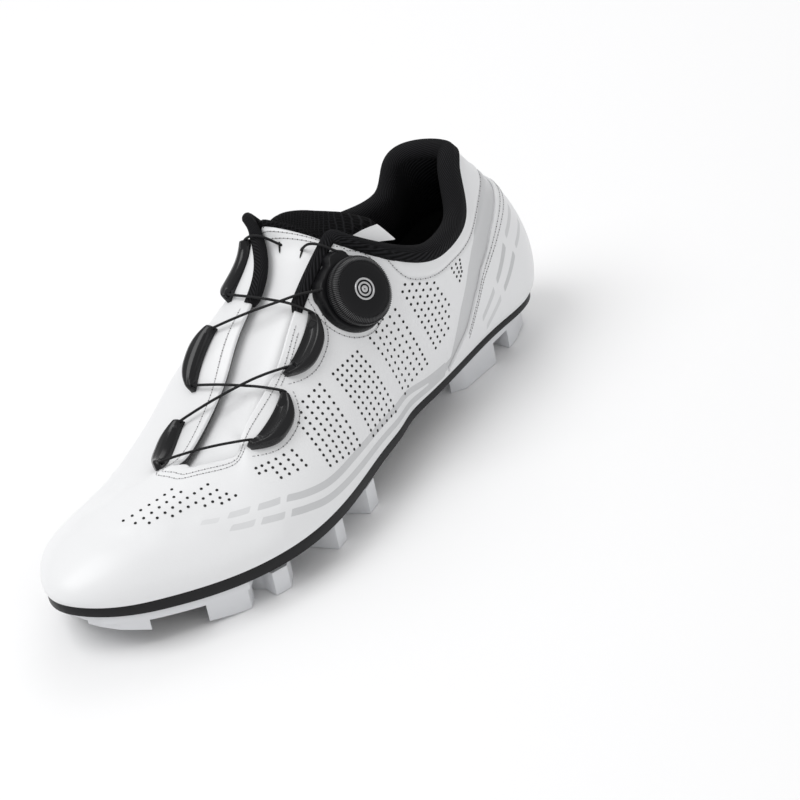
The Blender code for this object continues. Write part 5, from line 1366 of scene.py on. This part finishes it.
def make_tread():
    """White tread: a thin layer with openings, and the lugs cut from a thicker one."""

    def tread_top(along, z):
        return plate_under(along, z) - TREAD_GAP

    def base_under(along, z):
        return tread_top(along, z) - TREAD_BASE

    base = loose("tread_base", loft_between("tread_base", TREAD_INSET, tread_top, base_under,
                                            across=5))
    boolean(base, [loose("tread_plan", prism_mesh("tread_plan", plan(TREAD_OUTLINE),
                                                  -CUT_DEPTH, CUT_TOP))], "INTERSECT")
    boolean(base, [loose(name, prism_mesh(name, plan(points), -CUT_DEPTH, CUT_TOP))
                   for name, points in TREAD_OPENINGS.items()], "DIFFERENCE")
    block = loose("lug_layer", loft_between(
        "lug_layer", TREAD_INSET + LUG_INSET, lambda along, z: tread_top(along, z) - TREAD_SOCKET,
        lambda along, z: lift(along), across=5))
    prisms = bmesh.new()
    for points in LUGS.values():
        mesh = prism_mesh("lug", plan(points), -CUT_DEPTH, CUT_TOP)
        prisms.from_mesh(mesh)
        bpy.data.meshes.remove(mesh)
    mesh = bpy.data.meshes.new("lugs")
    prisms.to_mesh(mesh)
    prisms.free()
    boolean(block, [loose("lugs", mesh)], "INTERSECT")
    boolean(base, [block], "UNION", "MANIFOLD")
    bevel(base, TREAD_EDGE)
    mesh = base.data
    bpy.data.objects.remove(base)
    finish_piece("shoe_tread", mesh, rubber, ["outsole"], angle=35)


# Closure


def drape(anchor, offsets, height):
    """Points over the upper, given as steps (round, up) from a place on it."""
    place, share = anchor
    origin, rise, normal = skin_frame(place, share)
    around = np.cross(rise, normal)
    offsets = np.asarray(offsets, float)
    target = origin + offsets[:, :1] * around + offsets[:, 1:] * rise
    p = np.full(len(offsets), place, float)
    v = np.full(len(offsets), share, float)
    for _ in range(12):
        point = skin(p, v)
        held = np.clip(v, 0, 1 - NUDGE)
        dp = (skin(p + NUDGE, v) - point) / NUDGE
        dv = (skin(p, held + NUDGE) - skin(p, held)) / NUDGE
        miss = target - point
        miss = miss - (miss @ normal)[:, None] * normal
        matrix = np.stack([dp, dv, np.broadcast_to(normal, dp.shape)], -1)
        step = np.linalg.solve(matrix, miss[..., None])[..., 0]
        p = p + np.clip(step[:, 0], -0.02, 0.02)
        v = np.clip(v + np.clip(step[:, 1], -0.08, 0.08), 0.0, 1.0)
    return shell(p, v, np.asarray(height, float) * np.ones(len(p)))


def dial_frame():
    """The dial's own directions and place: round the upper, up it and off it."""
    origin, rise, normal = skin_frame(*DIAL_PLACE)
    axis = Vector(normal)
    up = (Vector(rise) - axis * Vector(rise).dot(axis)).normalized()
    around = up.cross(axis).normalized()
    turned = Matrix((around, up, axis)).transposed().to_4x4()
    turned.translation = Vector(origin)
    return turned


def dial_points(local):
    matrix = np.array(dial_frame())
    return np.asarray(local) @ matrix[:3, :3].T + matrix[:3, 3]


def turned_mesh(name, profile, segments):
    """A turned body on the dial's axis, from (radius, height) pairs, closed at both ends."""
    angle = np.linspace(0, 2 * math.pi, segments, endpoint=False)
    rings = [np.stack([r * np.cos(angle), r * np.sin(angle), np.full(segments, h)], 1)
             for r, h in profile]
    return ring_mesh(name, [dial_points(ring) for ring in rings], False)


def base_outline(count=120, grow=0.0):
    """The dial's base from above, a circle with a spout for each lace."""
    points = []
    radius = DIAL_BASE_DIAMETER / 2 + grow
    for k in range(count):
        angle = 2 * math.pi * k / count
        reach = radius
        for spout in DIAL_SPOUTS:
            turn = math.remainder(angle - math.radians(spout.angle), 2 * math.pi)
            if abs(turn) < SPOUT_SPREAD:
                reach = max(reach, radius + spout.length * (1 - (turn / SPOUT_SPREAD) ** 4))
        points.append((reach * math.cos(angle), reach * math.sin(angle)))
    return np.array(points)


def make_dial():
    """Base, ribbed knob, face and plain rings of the lace dial."""
    outline = base_outline()
    rings = [drape(DIAL_PLACE, outline * share, 0.0001) for share in (0.1, 0.5, 0.85)]
    rings.append(drape(DIAL_PLACE, outline * 1.02, 0.0001))
    rings.append(drape(DIAL_PLACE, outline * 1.02, 0.0009))
    top = GAP + DIAL_BASE_HEIGHT
    for share, height in ((0.985, 0.80), (0.965, 0.97), (0.94, 1.0), (0.45, 1.0)):
        local = np.concatenate([outline * share, np.full((len(outline), 1), top * height)], 1)
        rings.append(dial_points(local))
    finish_piece("shoe_dial_base", ring_mesh("shoe_dial_base", rings, False), dial_black,
                 ["dial_base"], angle=50)
    foot = top + 0.0002
    radius = DIAL_DIAMETER / 2 - 0.0005
    crown = foot + DIAL_HEIGHT
    profile = [(radius * 0.5, foot), (radius - 0.0006, foot), (radius, foot + 0.0005),
               (radius, foot + 0.0014), (radius - 0.0006, foot + 0.0017),
               (radius - 0.0006, foot + 0.0021), (radius, foot + 0.0024),
               (radius, crown - 0.0024), (radius - 0.0004, crown - 0.0017),
               (radius - 0.0016, crown - 0.0007), (radius - 0.0028, crown - 0.0001)]
    finish_piece("shoe_dial_knob", turned_mesh("shoe_dial_knob", profile + [
        (radius - 0.0034, crown - 0.0001)], 120), dial_black, ["dial_knob"], angle=50)
    face = [(radius - 0.0032, crown - 0.0010), (radius - 0.0032, crown - 0.0001),
            (radius - 0.0037, crown + 0.0001), (radius * 0.5, crown + 0.0001),
            (0.0006, crown + 0.0002)]
    finish_piece("shoe_dial_face", turned_mesh("shoe_dial_face", face, 96), dial_gloss, angle=60)
    seat = crown + 0.0001
    for number, (outer, inner) in enumerate(((0.0045, 0.0037), (0.0029, 0.0021),
                                             (0.0014, 0.0003)), 1):
        ring = [(inner, seat - 0.0003), (outer, seat - 0.0003), (outer, seat + 0.0002),
                (outer - 0.00015, seat + 0.00035), (inner + 0.00015, seat + 0.00035),
                (inner, seat + 0.0002)]
        angle = np.linspace(0, 2 * math.pi, 72, endpoint=False)
        loops = [dial_points(np.stack([r * np.cos(angle), r * np.sin(angle),
                                       np.full(72, h)], 1)) for r, h in ring]
        mesh = ring_mesh("shoe_dial_ring_%d" % number, loops, True)
        finish_piece("shoe_dial_ring_%d" % number, mesh, ring_silver,
                     ["dial_cap"] if number == 1 else (), angle=50)
    angle = np.linspace(0, 2 * math.pi, DIAL_RIBS, endpoint=False)
    outwards = np.stack([np.cos(angle), np.sin(angle), np.zeros(DIAL_RIBS)], 1)
    turn = np.array(dial_frame())[:3, :3]
    axis = np.broadcast_to(turn[:, 2], (DIAL_RIBS, 3))
    middle = (foot + 0.0024 + crown - 0.0020) / 2
    spots = dial_points(outwards * radius + np.array([0, 0, middle]))
    # Ribs and teeth take the lighter rib finish, a painted highlight on each.
    repeat_piece("shoe_dial_ribs", spots, outwards @ turn.T, axis, "thread",
                 DIAL_HEIGHT * 0.50, RIB_WIDTH, RIB_HEIGHT, dial_rib)
    slope = (outwards + np.array([0, 0, 1.0])) / math.sqrt(2)
    down = (outwards - np.array([0, 0, 1.0])) / math.sqrt(2)
    spots = dial_points(outwards * (radius - 0.0012) + np.array([0, 0, crown - 0.0011]))
    repeat_piece("shoe_dial_teeth", spots, slope @ turn.T, down @ turn.T, "thread",
                 TOOTH_LENGTH, RIB_WIDTH, TOOTH_HEIGHT, dial_rib)


def guide_anchor(guide):
    return tuple((np.array(guide.rear) + np.array(guide.front)) / 2)


def guide_steps(guide, point):
    origin, rise, normal = skin_frame(*guide_anchor(guide))
    around = np.cross(rise, normal)
    step = np.asarray(point) - origin
    return np.array([step @ around, step @ rise])


def guide_shape(guide):
    """Middle, direction, length and the way off the throat of a guide, as (round, up) steps."""
    rear = guide_steps(guide, skin(*guide.rear))
    front = guide_steps(guide, skin(*guide.front))
    run = front - rear
    length = np.linalg.norm(run)
    run = run / length
    away = np.array([run[1], -run[0]])
    if away[1] > 0:
        away = -away
    return (rear + front) / 2, run, length, away


def guide_grid(guide, count, cross, grow=0.0):
    """A crescent of (round, up) steps, from its outer edge to the throat."""
    middle, run, length, away = guide_shape(guide)
    rows = []
    for k in range(count):
        t = -1 + 2 * k / (count - 1)
        bulge = guide.width * (0.10 + 0.92 * (1 - abs(t) ** 2.6)) + grow
        hollow = guide.width * (0.20 * (1 - abs(t) ** 2.2) - 0.16)
        outside = middle + run * t * (length / 2 + GUIDE_END + grow) + away * bulge
        inside = middle + run * t * (length / 2 + GUIDE_END * 0.6) + away * hollow
        rows.append([outside + (inside - outside) * share for share in np.linspace(0, 1, cross)])
    return np.array(rows)


# Height of a guide across its width, from its outer edge to the throat: half moons on the
# outer side have a bowl towards the throat, bars on the inner side are plainly arched.
HALF_MOON = [(0.0, 0.25), (0.03, 0.66), (0.08, 0.92), (0.18, 1.0), (0.38, 1.0), (0.46, 0.92),
             (0.55, 0.62), (0.66, 0.34), (0.80, 0.22), (0.92, 0.20), (1.0, 0.16)]
ARCH = [(0.0, 0.25), (0.04, 0.62), (0.12, 0.88), (0.28, 1.0), (0.55, 1.0), (0.74, 0.90),
        (0.88, 0.72), (0.96, 0.55), (1.0, 0.25)]


def make_guides():
    count, cross = 57, 33
    share = np.linspace(0, 1, cross)
    t = np.abs(np.linspace(-1, 1, count))[:, None]
    for guide in GUIDES:
        table = np.array(HALF_MOON if "lateral" in guide.name else ARCH)
        height = np.interp(share, table[:, 0], table[:, 1])[None]
        ridge = np.interp(share, [0, 0.05, 0.15, 0.85, 0.95, 1], [0.25, 0.6, 0.9, 0.9, 0.6, 0.25])
        bridge = np.clip((t - 0.52) / 0.22, 0, 1) ** 0.8
        body = np.maximum(height, ridge[None] * bridge)
        end = (1 - np.clip((t - 0.90) / 0.10, 0, 1) ** 2.5 * 0.7)
        crown = (body * end * guide.height).ravel()
        steps = guide_grid(guide, count, cross).reshape(-1, 2)
        top = drape(guide_anchor(guide), steps, crown).reshape(count, cross, 3)
        foot = drape(guide_anchor(guide), steps, 0.0001).reshape(count, cross, 3)
        mesh = slab_mesh("shoe_" + guide.name, top, foot)
        finish_piece("shoe_" + guide.name, mesh, guide_black, [guide.name], angle=60)


def lace_end(name, which):
    """Where the lace goes into an end of a guide."""
    guide = next(item for item in GUIDES if item.name == name)
    point, rise, normal = skin_frame(*getattr(guide, which))
    return point + rise * 0.0016 + normal * LACE_LIFT


OVER_TONGUE = np.array([0.0, -0.45, 0.89])      # the way off the tongue, about square to it


def lace_path(points):
    """A smooth path through the lace's points."""
    points = [np.asarray(point, float) for point in points]
    padded = [2 * points[0] - points[1]] + points + [2 * points[-1] - points[-2]]
    path = []
    for i in range(1, len(padded) - 2):
        a, b, c, d = padded[i - 1:i + 3]
        for k in range(LACE_STEPS):
            path.append(curve_between(a, b, c, d, k / LACE_STEPS))
    path.append(points[-1])
    return path


def bar_over_throat(start, stop, bow):
    """A length of lace bowed over the tongue."""
    return [start, start * 0.72 + stop * 0.28 + OVER_TONGUE * bow * 0.8,
            (start + stop) / 2 + OVER_TONGUE * bow,
            start * 0.28 + stop * 0.72 + OVER_TONGUE * bow * 0.8, stop]


def crossed_bars(first, second, bow):
    """Two lengths of lace that cross, the second over the first."""
    (a, b), (c, d) = first, second
    flat = np.stack([(b - a)[:2], (c - d)[:2]], 1)
    t, u = np.linalg.solve(flat, (c - a)[:2])
    meeting = (a + (b - a) * t + c + (d - c) * u) / 2 + OVER_TONGUE * bow
    bars = []
    for start, stop, side in ((a, b, -1), (c, d, 1)):
        point = meeting + OVER_TONGUE * side * LACE_DIAMETER * 0.42
        before = start + (point - start) * 0.5 + OVER_TONGUE * bow * 0.3
        after = stop + (point - stop) * 0.5 + OVER_TONGUE * bow * 0.3
        bars.append([start, before, point, after, stop])
    return bars


def spout_point(spout):
    """Where the lace leaves a spout of the dial's base."""
    angle = math.radians(spout.angle)
    reach = DIAL_BASE_DIAMETER / 2 + spout.length + GAP + LACE_DIAMETER / 2
    height = (GAP + DIAL_BASE_HEIGHT) * 0.6
    return dial_points([[reach * math.cos(angle), reach * math.sin(angle), height]])[0]


def make_lace():
    """The whole lace as one mesh, through its slots, guides and spouts."""
    rows, _ = tongue_surface()
    normals = grid_normals(rows)
    slots, facing, across = {}, [], []
    for name, (row, col) in TONGUE_SLOTS.items():
        at = np.array([[row] * rows.shape[1], [row - 0.4] * rows.shape[1]])
        line, below = rows_at(rows, at)
        i, share = int(col), col - int(col)
        point = line[i] * (1 - share) + line[i + 1] * share
        normal = normals[int(row), i]
        slots[name] = point + normal * (LACE_DIAMETER * 0.75)
        facing.append(normal)
        across.append(below[i] - line[i])
    # The tongue's slots are flat dark discs, painted as the shade inside each slot.
    spots = np.array([slots[name] - n * (LACE_DIAMETER * 0.75 - 0.0001)
                      for name, n in zip(TONGUE_SLOTS, facing)])
    repeat_piece("shoe_tongue_slots", spots, facing, across, "disc", *TONGUE_SLOT_SIZE,
                 opening_shade)
    ends = {(guide.name, which): lace_end(guide.name, which)
            for guide in GUIDES for which in ("rear", "front")}
    dial = [spout_point(spout) for spout in DIAL_SPOUTS]
    paths = []

    def bar(points, first_in, last_in):
        """One length of lace, running on a little way into the hole at each end."""
        points = [np.asarray(point) for point in points]
        before = points[0] - points[1]
        after = points[-1] - points[-2]
        first = points[0] + before / np.linalg.norm(before) * LACE_STUB - first_in * LACE_DIP
        last = points[-1] + after / np.linalg.norm(after) * LACE_STUB - last_in * LACE_DIP
        paths.append([first] + points + [last])

    up = {key: skin_frame(*getattr(next(g for g in GUIDES if g.name == key[0]), key[1]))[2]
          for key in ends}
    flat = np.zeros(3)
    bar(bar_over_throat(dial[0], slots["outer"], 0.0040), flat, facing[0])
    top = ("guide_medial_1", "rear")
    bar(bar_over_throat(slots["inner"], ends[top], 0.0042), facing[1], up[top])
    pairs = [((("guide_medial_1", "front"), ("guide_lateral_1", "rear")),
              (("guide_medial_2", "rear"), None)),
             ((("guide_medial_2", "front"), ("guide_lateral_2", "rear")),
              (("guide_medial_3", "rear"), ("guide_lateral_1", "front")))]
    for first, second in pairs:
        far = dial[1] if second[1] is None else ends[second[1]]
        bars = crossed_bars((ends[first[0]], ends[first[1]]), (ends[second[0]], far), 0.0022)
        bar(bars[0], up[first[0]], up[first[1]])
        bar(bars[1], up[second[0]], flat if second[1] is None else up[second[1]])
    low, far = ("guide_medial_3", "front"), ("guide_lateral_2", "front")
    bar(bar_over_throat(ends[low], ends[far], 0.0016), up[low], up[far])
    for guide in GUIDES:
        rear, front = ends[guide.name, "rear"], ends[guide.name, "front"]
        middle, run, length, away = guide_shape(guide)
        share = 0.30 if guide.name.startswith("guide_medial") else 0.66
        aside = away * guide.width
        step = run * length * 0.24
        spots = drape(guide_anchor(guide), [middle - step + aside * share,
                                            middle + aside * (share + 0.06),
                                            middle + step + aside * share], LACE_INSIDE)
        low = up[guide.name, "rear"] * LACE_DIP
        paths.append([rear - low, *spots, front - low])
    curve = bpy.data.curves.new("lace", "CURVE")
    curve.dimensions = "3D"
    curve.bevel_depth = LACE_DIAMETER / 2
    curve.bevel_resolution = 3
    curve.use_fill_caps = True
    for points in paths:
        path = lace_path(points)
        spline = curve.splines.new("POLY")
        spline.points.add(len(path) - 1)
        for slot, point in zip(spline.points, path):
            slot.co = (*point, 1.0)
    source = loose("lace_source", curve)
    mesh = evaluated_mesh(source)
    bpy.data.objects.remove(source)
    bm = bmesh.new()
    bm.from_mesh(mesh)
    bmesh.ops.remove_doubles(bm, verts=bm.verts, dist=1e-6)
    bmesh.ops.recalc_face_normals(bm, faces=bm.faces)
    bm.to_mesh(mesh)
    bm.free()
    finish_piece("shoe_lace", mesh, lace_black,
                 ["lace_top_lateral", "lace_top_medial", "lace_cross_upper", "lace_cross_lower",
                  "lace_bar_toe"], angle=60)


# Perforations and stitches


# Panels of pinholes: hole i of row j stands at origin + i step + j turn + i j twist, and each row
# has its first and last hole.
Lattice = namedtuple("Lattice", "origin step turn twist rows")
LATTICES = [
    Lattice((0.238, 0.681), (0.0, -0.0456), (-0.0065, 0.020), (0.0, 0.0004),
            [(0, 10), (0, 10), (0, 10), (0, 10), (1, 10), (2, 10)]),
    Lattice((0.273, 0.513), (0.0011, -0.037), (-0.0044, 0.021), (-0.00016, -0.0009),
            [(0, 11)] * 6),
    Lattice((0.320, 0.562), (0.0012, -0.036), (-0.0068, -0.0185), (0.0001, 0.0001), [(0, 10)] * 6),
    Lattice((0.328, 0.700), (0.0015, -0.0425), (0.0024, 0.0585), (0.0003, -0.0034),
            [(0, 10), (0, 10), (1, 10), (2, 10), (3, 9), (4, 8)]),
    Lattice((0.388, 0.769), (0.0, -0.035), (-0.0067, 0.002), (0.0013, -0.009), [(0, 3)] * 3),
    Lattice((0.151, 0.750), (0.0074, -0.025), (0.0005, -0.046), (0.0, 0.0),
            [(0, 5), (0, 5), (2, 5), (2, 5)]),
    Lattice((0.008, 0.694), (0.0047, 0.029), (0.0145, -0.008), (0.0005, -0.0045),
            [(0, 6), (0, 6), (0, 8), (1, 7), (3, 6), (3, 5)]),
]


def lattice_holes(lattice):
    origin, step, turn, twist = (np.array(item) for item in lattice[:4])
    return [origin + i * step + j * turn + i * j * twist
            for j, (first, last) in enumerate(lattice.rows) for i in range(first, last + 1)]


def make_perforations():
    holes = np.array([hole for lattice in LATTICES for hole in lattice_holes(lattice)])
    spots, rise, normal = skin_frame(holes[:, 0], np.clip(holes[:, 1], 0, 1))
    height = upper_relief(spots)
    clear = np.linalg.norm(spots - skin(*DIAL_PLACE), axis=1) > DIAL_BASE_DIAMETER / 2 + 0.0012
    for guide in GUIDES:
        away = np.linalg.norm(spots - skin(*guide_anchor(guide)), axis=1)
        clear &= away > guide.width
    spots = spots + normal * (height + 0.00003)[:, None]
    # Each pinhole is a flat dark disc, painted as the shade inside the hole.
    repeat_piece("shoe_pinholes", spots[clear], normal[clear], rise[clear], "disc",
                 HOLE_DIAMETER, HOLE_DIAMETER, HOLE_SINK, opening_shade)


def stitch_row(path, pitch, lift_by):
    """Stitch centres, facing and direction along a path of (place, share) points."""
    at = smooth_path(path, pitch)
    spots, _, normal = skin_frame(at[:, 0], np.clip(at[:, 1], 0, 1))
    run = np.gradient(spots, axis=0)
    return spots + normal * lift_by, normal, run


def ring_row(spots):
    """The same for a closed ring of points already on the skin."""
    run = np.roll(spots, -1, 0) - np.roll(spots, 1, 0)
    centre = spots.mean(0)
    normal = np.cross(run, spots - centre)
    normal /= np.linalg.norm(normal, axis=1, keepdims=True)
    return spots, normal, run


COUNTER_EDGE = [(row.place, row.top) for row in COUNTER if row.place < 0.503]
THROAT_EDGE = [
    (0.252, 0.962), (0.235, 0.958), (0.215, 0.956), (0.195, 0.955), (0.170, 0.955), (0.145, 0.955),
    (0.120, 0.955), (0.095, 0.955), (0.060, 0.955), (0.030, 0.955), (0.000, 0.955),
    (-0.030, 0.955), (-0.060, 0.955), (-0.090, 0.955), (-0.120, 0.957), (-0.160, 0.960),
    (-0.200, 0.960), (-0.232, 0.962)]
# Rows of stitches on the upper: path, pitch and lift off the skin.
STITCHES = [
    (COLLAR_SEAM, 0.0026, 0.0000),
    ([(p, v - 0.030) for p, v in COUNTER_EDGE[1:]], 0.0024, 0.0014),
    ([(p, v - 0.062) for p, v in COUNTER_EDGE[1:]], 0.0024, 0.0014),
    (THROAT_EDGE, 0.0024, 0.0001),
    ([(0.250, 0.930), (0.232, 0.926), (0.215, 0.924)], 0.0024, 0.0001),
    ([(0.150, 0.925), (0.125, 0.925), (0.095, 0.925), (0.060, 0.927), (0.030, 0.930),
      (0.000, 0.930), (-0.030, 0.930), (-0.060, 0.928)], 0.0024, 0.0001),
]


def make_stitches():
    """Thread on the upper, round the dial and two guides, and on the tongue, with grey discs
    between the stitches painted as the shade of the needle holes.
    """
    rows = [stitch_row(*entry) for entry in STITCHES]
    rows.append(ring_row(drape(DIAL_PLACE, base_outline(48, 0.0022), 0.0001)))
    for guide in GUIDES[3:]:
        grid = guide_grid(guide, 16, 2, 0.0020)
        outside = drape(guide_anchor(guide), grid[:, 0], 0.0001)
        normal = skin_frame(*guide_anchor(guide))[2]
        rows.append((outside, np.broadcast_to(normal, outside.shape),
                     np.gradient(outside, axis=0)))
    for past in (-0.22, -0.50):
        spots, normal, run = tongue_line(past, 12, 98, 24)
        rows.append((spots + normal * 0.0001, normal, run))
    spots = np.concatenate([row[0] for row in rows])
    facing = np.concatenate([row[1] for row in rows])
    along = np.concatenate([row[2] for row in rows])
    repeat_piece("shoe_stitches", spots, facing, along, "thread", *STITCH_SIZE, thread_white)
    # Between the stitches, grey discs are painted as the shade in the needle holes.
    spots = np.concatenate([(row[0][1:] + row[0][:-1]) / 2 for row in rows])
    facing = np.concatenate([row[1][1:] for row in rows])
    along = np.concatenate([row[2][1:] for row in rows])
    repeat_piece("shoe_stitch_holes", spots, facing, along, "disc", *NEEDLE_SIZE, painted_needle_shade)


def make_screws():
    """Cross-recess screws in the toe bosses."""
    for number, (x, y) in enumerate(screw_places(), 1):
        seat = under_height(x, y) - BOSS_HEIGHT + BOSS_RECESS_DEPTH - 0.0001
        screw = loose("screw", post_mesh("screw", x, y, SCREW_HEAD / 2 * 0.72,
                                         seat - SCREW_HEIGHT, seat, SCREW_HEAD / 2))
        arms = []
        for turn in (0, math.pi / 2):
            bm = bmesh.new()
            bmesh.ops.create_cube(bm, size=1.0)
            matrix = (Matrix.Translation((x, y, seat - SCREW_HEIGHT))
                      @ Matrix.Rotation(turn + SCREW_TURN, 4, "Z")
                      @ Matrix.Diagonal((*SCREW_RECESS, 1)))
            bmesh.ops.transform(bm, matrix=matrix, verts=bm.verts)
            mesh = bpy.data.meshes.new("arm")
            bm.to_mesh(mesh)
            bm.free()
            arms.append(loose("arm", mesh))
        boolean(screw, arms, "DIFFERENCE")
        mesh = screw.data
        bpy.data.objects.remove(screw)
        finish_piece("shoe_toe_screw_%d" % number, mesh, zinc, ["toe_screw_%d" % number],
                     angle=35)


def keep_cad(name, finish):
    """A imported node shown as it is, in a finer finish."""
    node = frame["nodes"][name]
    node.data.materials.clear()
    node.data.materials.append(finish)
    for slot in node.material_slots:
        slot.link = "DATA"
        slot.material = finish


# Stage

FLOOR_DROP = 0.0003
WORLD_STRENGTH = 0.62
LOOKED_AT = Vector((0, 0, 0.04))
# Name, place, size and power of each lamp.
LAMPS = [
    ("key", (-0.35, -0.60, 1.25), 0.9, 9.5),
    ("side", (1.2, -0.2, 0.55), 0.8, 1.2),
    ("back", (-0.5, 0.9, 0.9), 0.9, 3.0),
]
# The photo's view: azimuth from the toe, elevation and roll, then how far off and what it aims at.
VIEW_ANGLES = (45.226, 31.419, -11.922)
VIEW_DISTANCE = 1.217405
VIEW_TARGET = Vector((0.125846, -0.208456, 0.106058))
VIEW_LENS = 3436.098 / 800 * 36.0


def make_stage():
    bm = bmesh.new()
    bmesh.ops.create_grid(bm, x_segments=1, y_segments=1, size=6.0)
    mesh = bpy.data.meshes.new("floor")
    bm.to_mesh(mesh)
    bm.free()
    ground = loose("floor", mesh)
    ground.location.z = -FLOOR_DROP
    pale = new_material("floor_pale", (0.93, 0.93, 0.935), 0.75)
    mesh.materials.append(pale)
    world = bpy.data.worlds.new("studio")
    bpy.context.scene.world = world
    world.use_nodes = True
    bpy.context.scene.view_settings.view_transform = "Standard"
    back = world.node_tree.nodes["Background"]
    back.inputs["Color"].default_value = (1.0, 1.0, 1.0, 1.0)
    back.inputs["Strength"].default_value = WORLD_STRENGTH
    for name, place, size, power in LAMPS:
        lamp = bpy.data.lights.new(name, "AREA")
        lamp.size = size
        lamp.energy = power
        holder = bpy.data.objects.new(name, lamp)
        bpy.context.scene.collection.objects.link(holder)
        holder.location = place
        aim = LOOKED_AT - Vector(place)
        holder.rotation_euler = aim.to_track_quat("-Z", "Y").to_euler()


def make_camera():
    azimuth, elevation, roll = (math.radians(angle) for angle in VIEW_ANGLES)
    target = VIEW_TARGET + Vector((SHIFT[0], SHOE_LENGTH / 2 + SHIFT[1], 0))
    back = Vector((math.sin(azimuth) * math.cos(elevation),
                   -math.cos(azimuth) * math.cos(elevation), math.sin(elevation)))
    ahead = -back
    right = ahead.cross(Vector((0, 0, 1))).normalized()
    up = right.cross(ahead)
    turned_right = right * math.cos(roll) + up * math.sin(roll)
    turned_up = up * math.cos(roll) - right * math.sin(roll)
    matrix = Matrix((turned_right, turned_up, back)).transposed().to_4x4()
    matrix.translation = target + back * VIEW_DISTANCE
    data = bpy.data.cameras.new("camera")
    data.sensor_width = 36.0
    data.lens = VIEW_LENS
    data.clip_start = 0.05
    camera = bpy.data.objects.new("camera", data)
    bpy.context.scene.collection.objects.link(camera)
    camera.matrix_world = matrix
    bpy.context.scene.camera = camera


for item in list(bpy.data.objects):
    if item.type in ("CAMERA", "LIGHT") or item.name == "Cube":
        bpy.data.objects.remove(item)
make_upper()
make_counter()
make_cuff()
make_bindings()
make_tongue()
make_plate()
make_tread()
make_dial()
make_guides()
make_lace()
make_perforations()
make_stitches()
make_screws()
keep_cad("insole", footbed)
for number in range(1, 5):
    keep_cad("cleat_bolt_%d" % number, bolt_black)
make_stage()
make_camera()
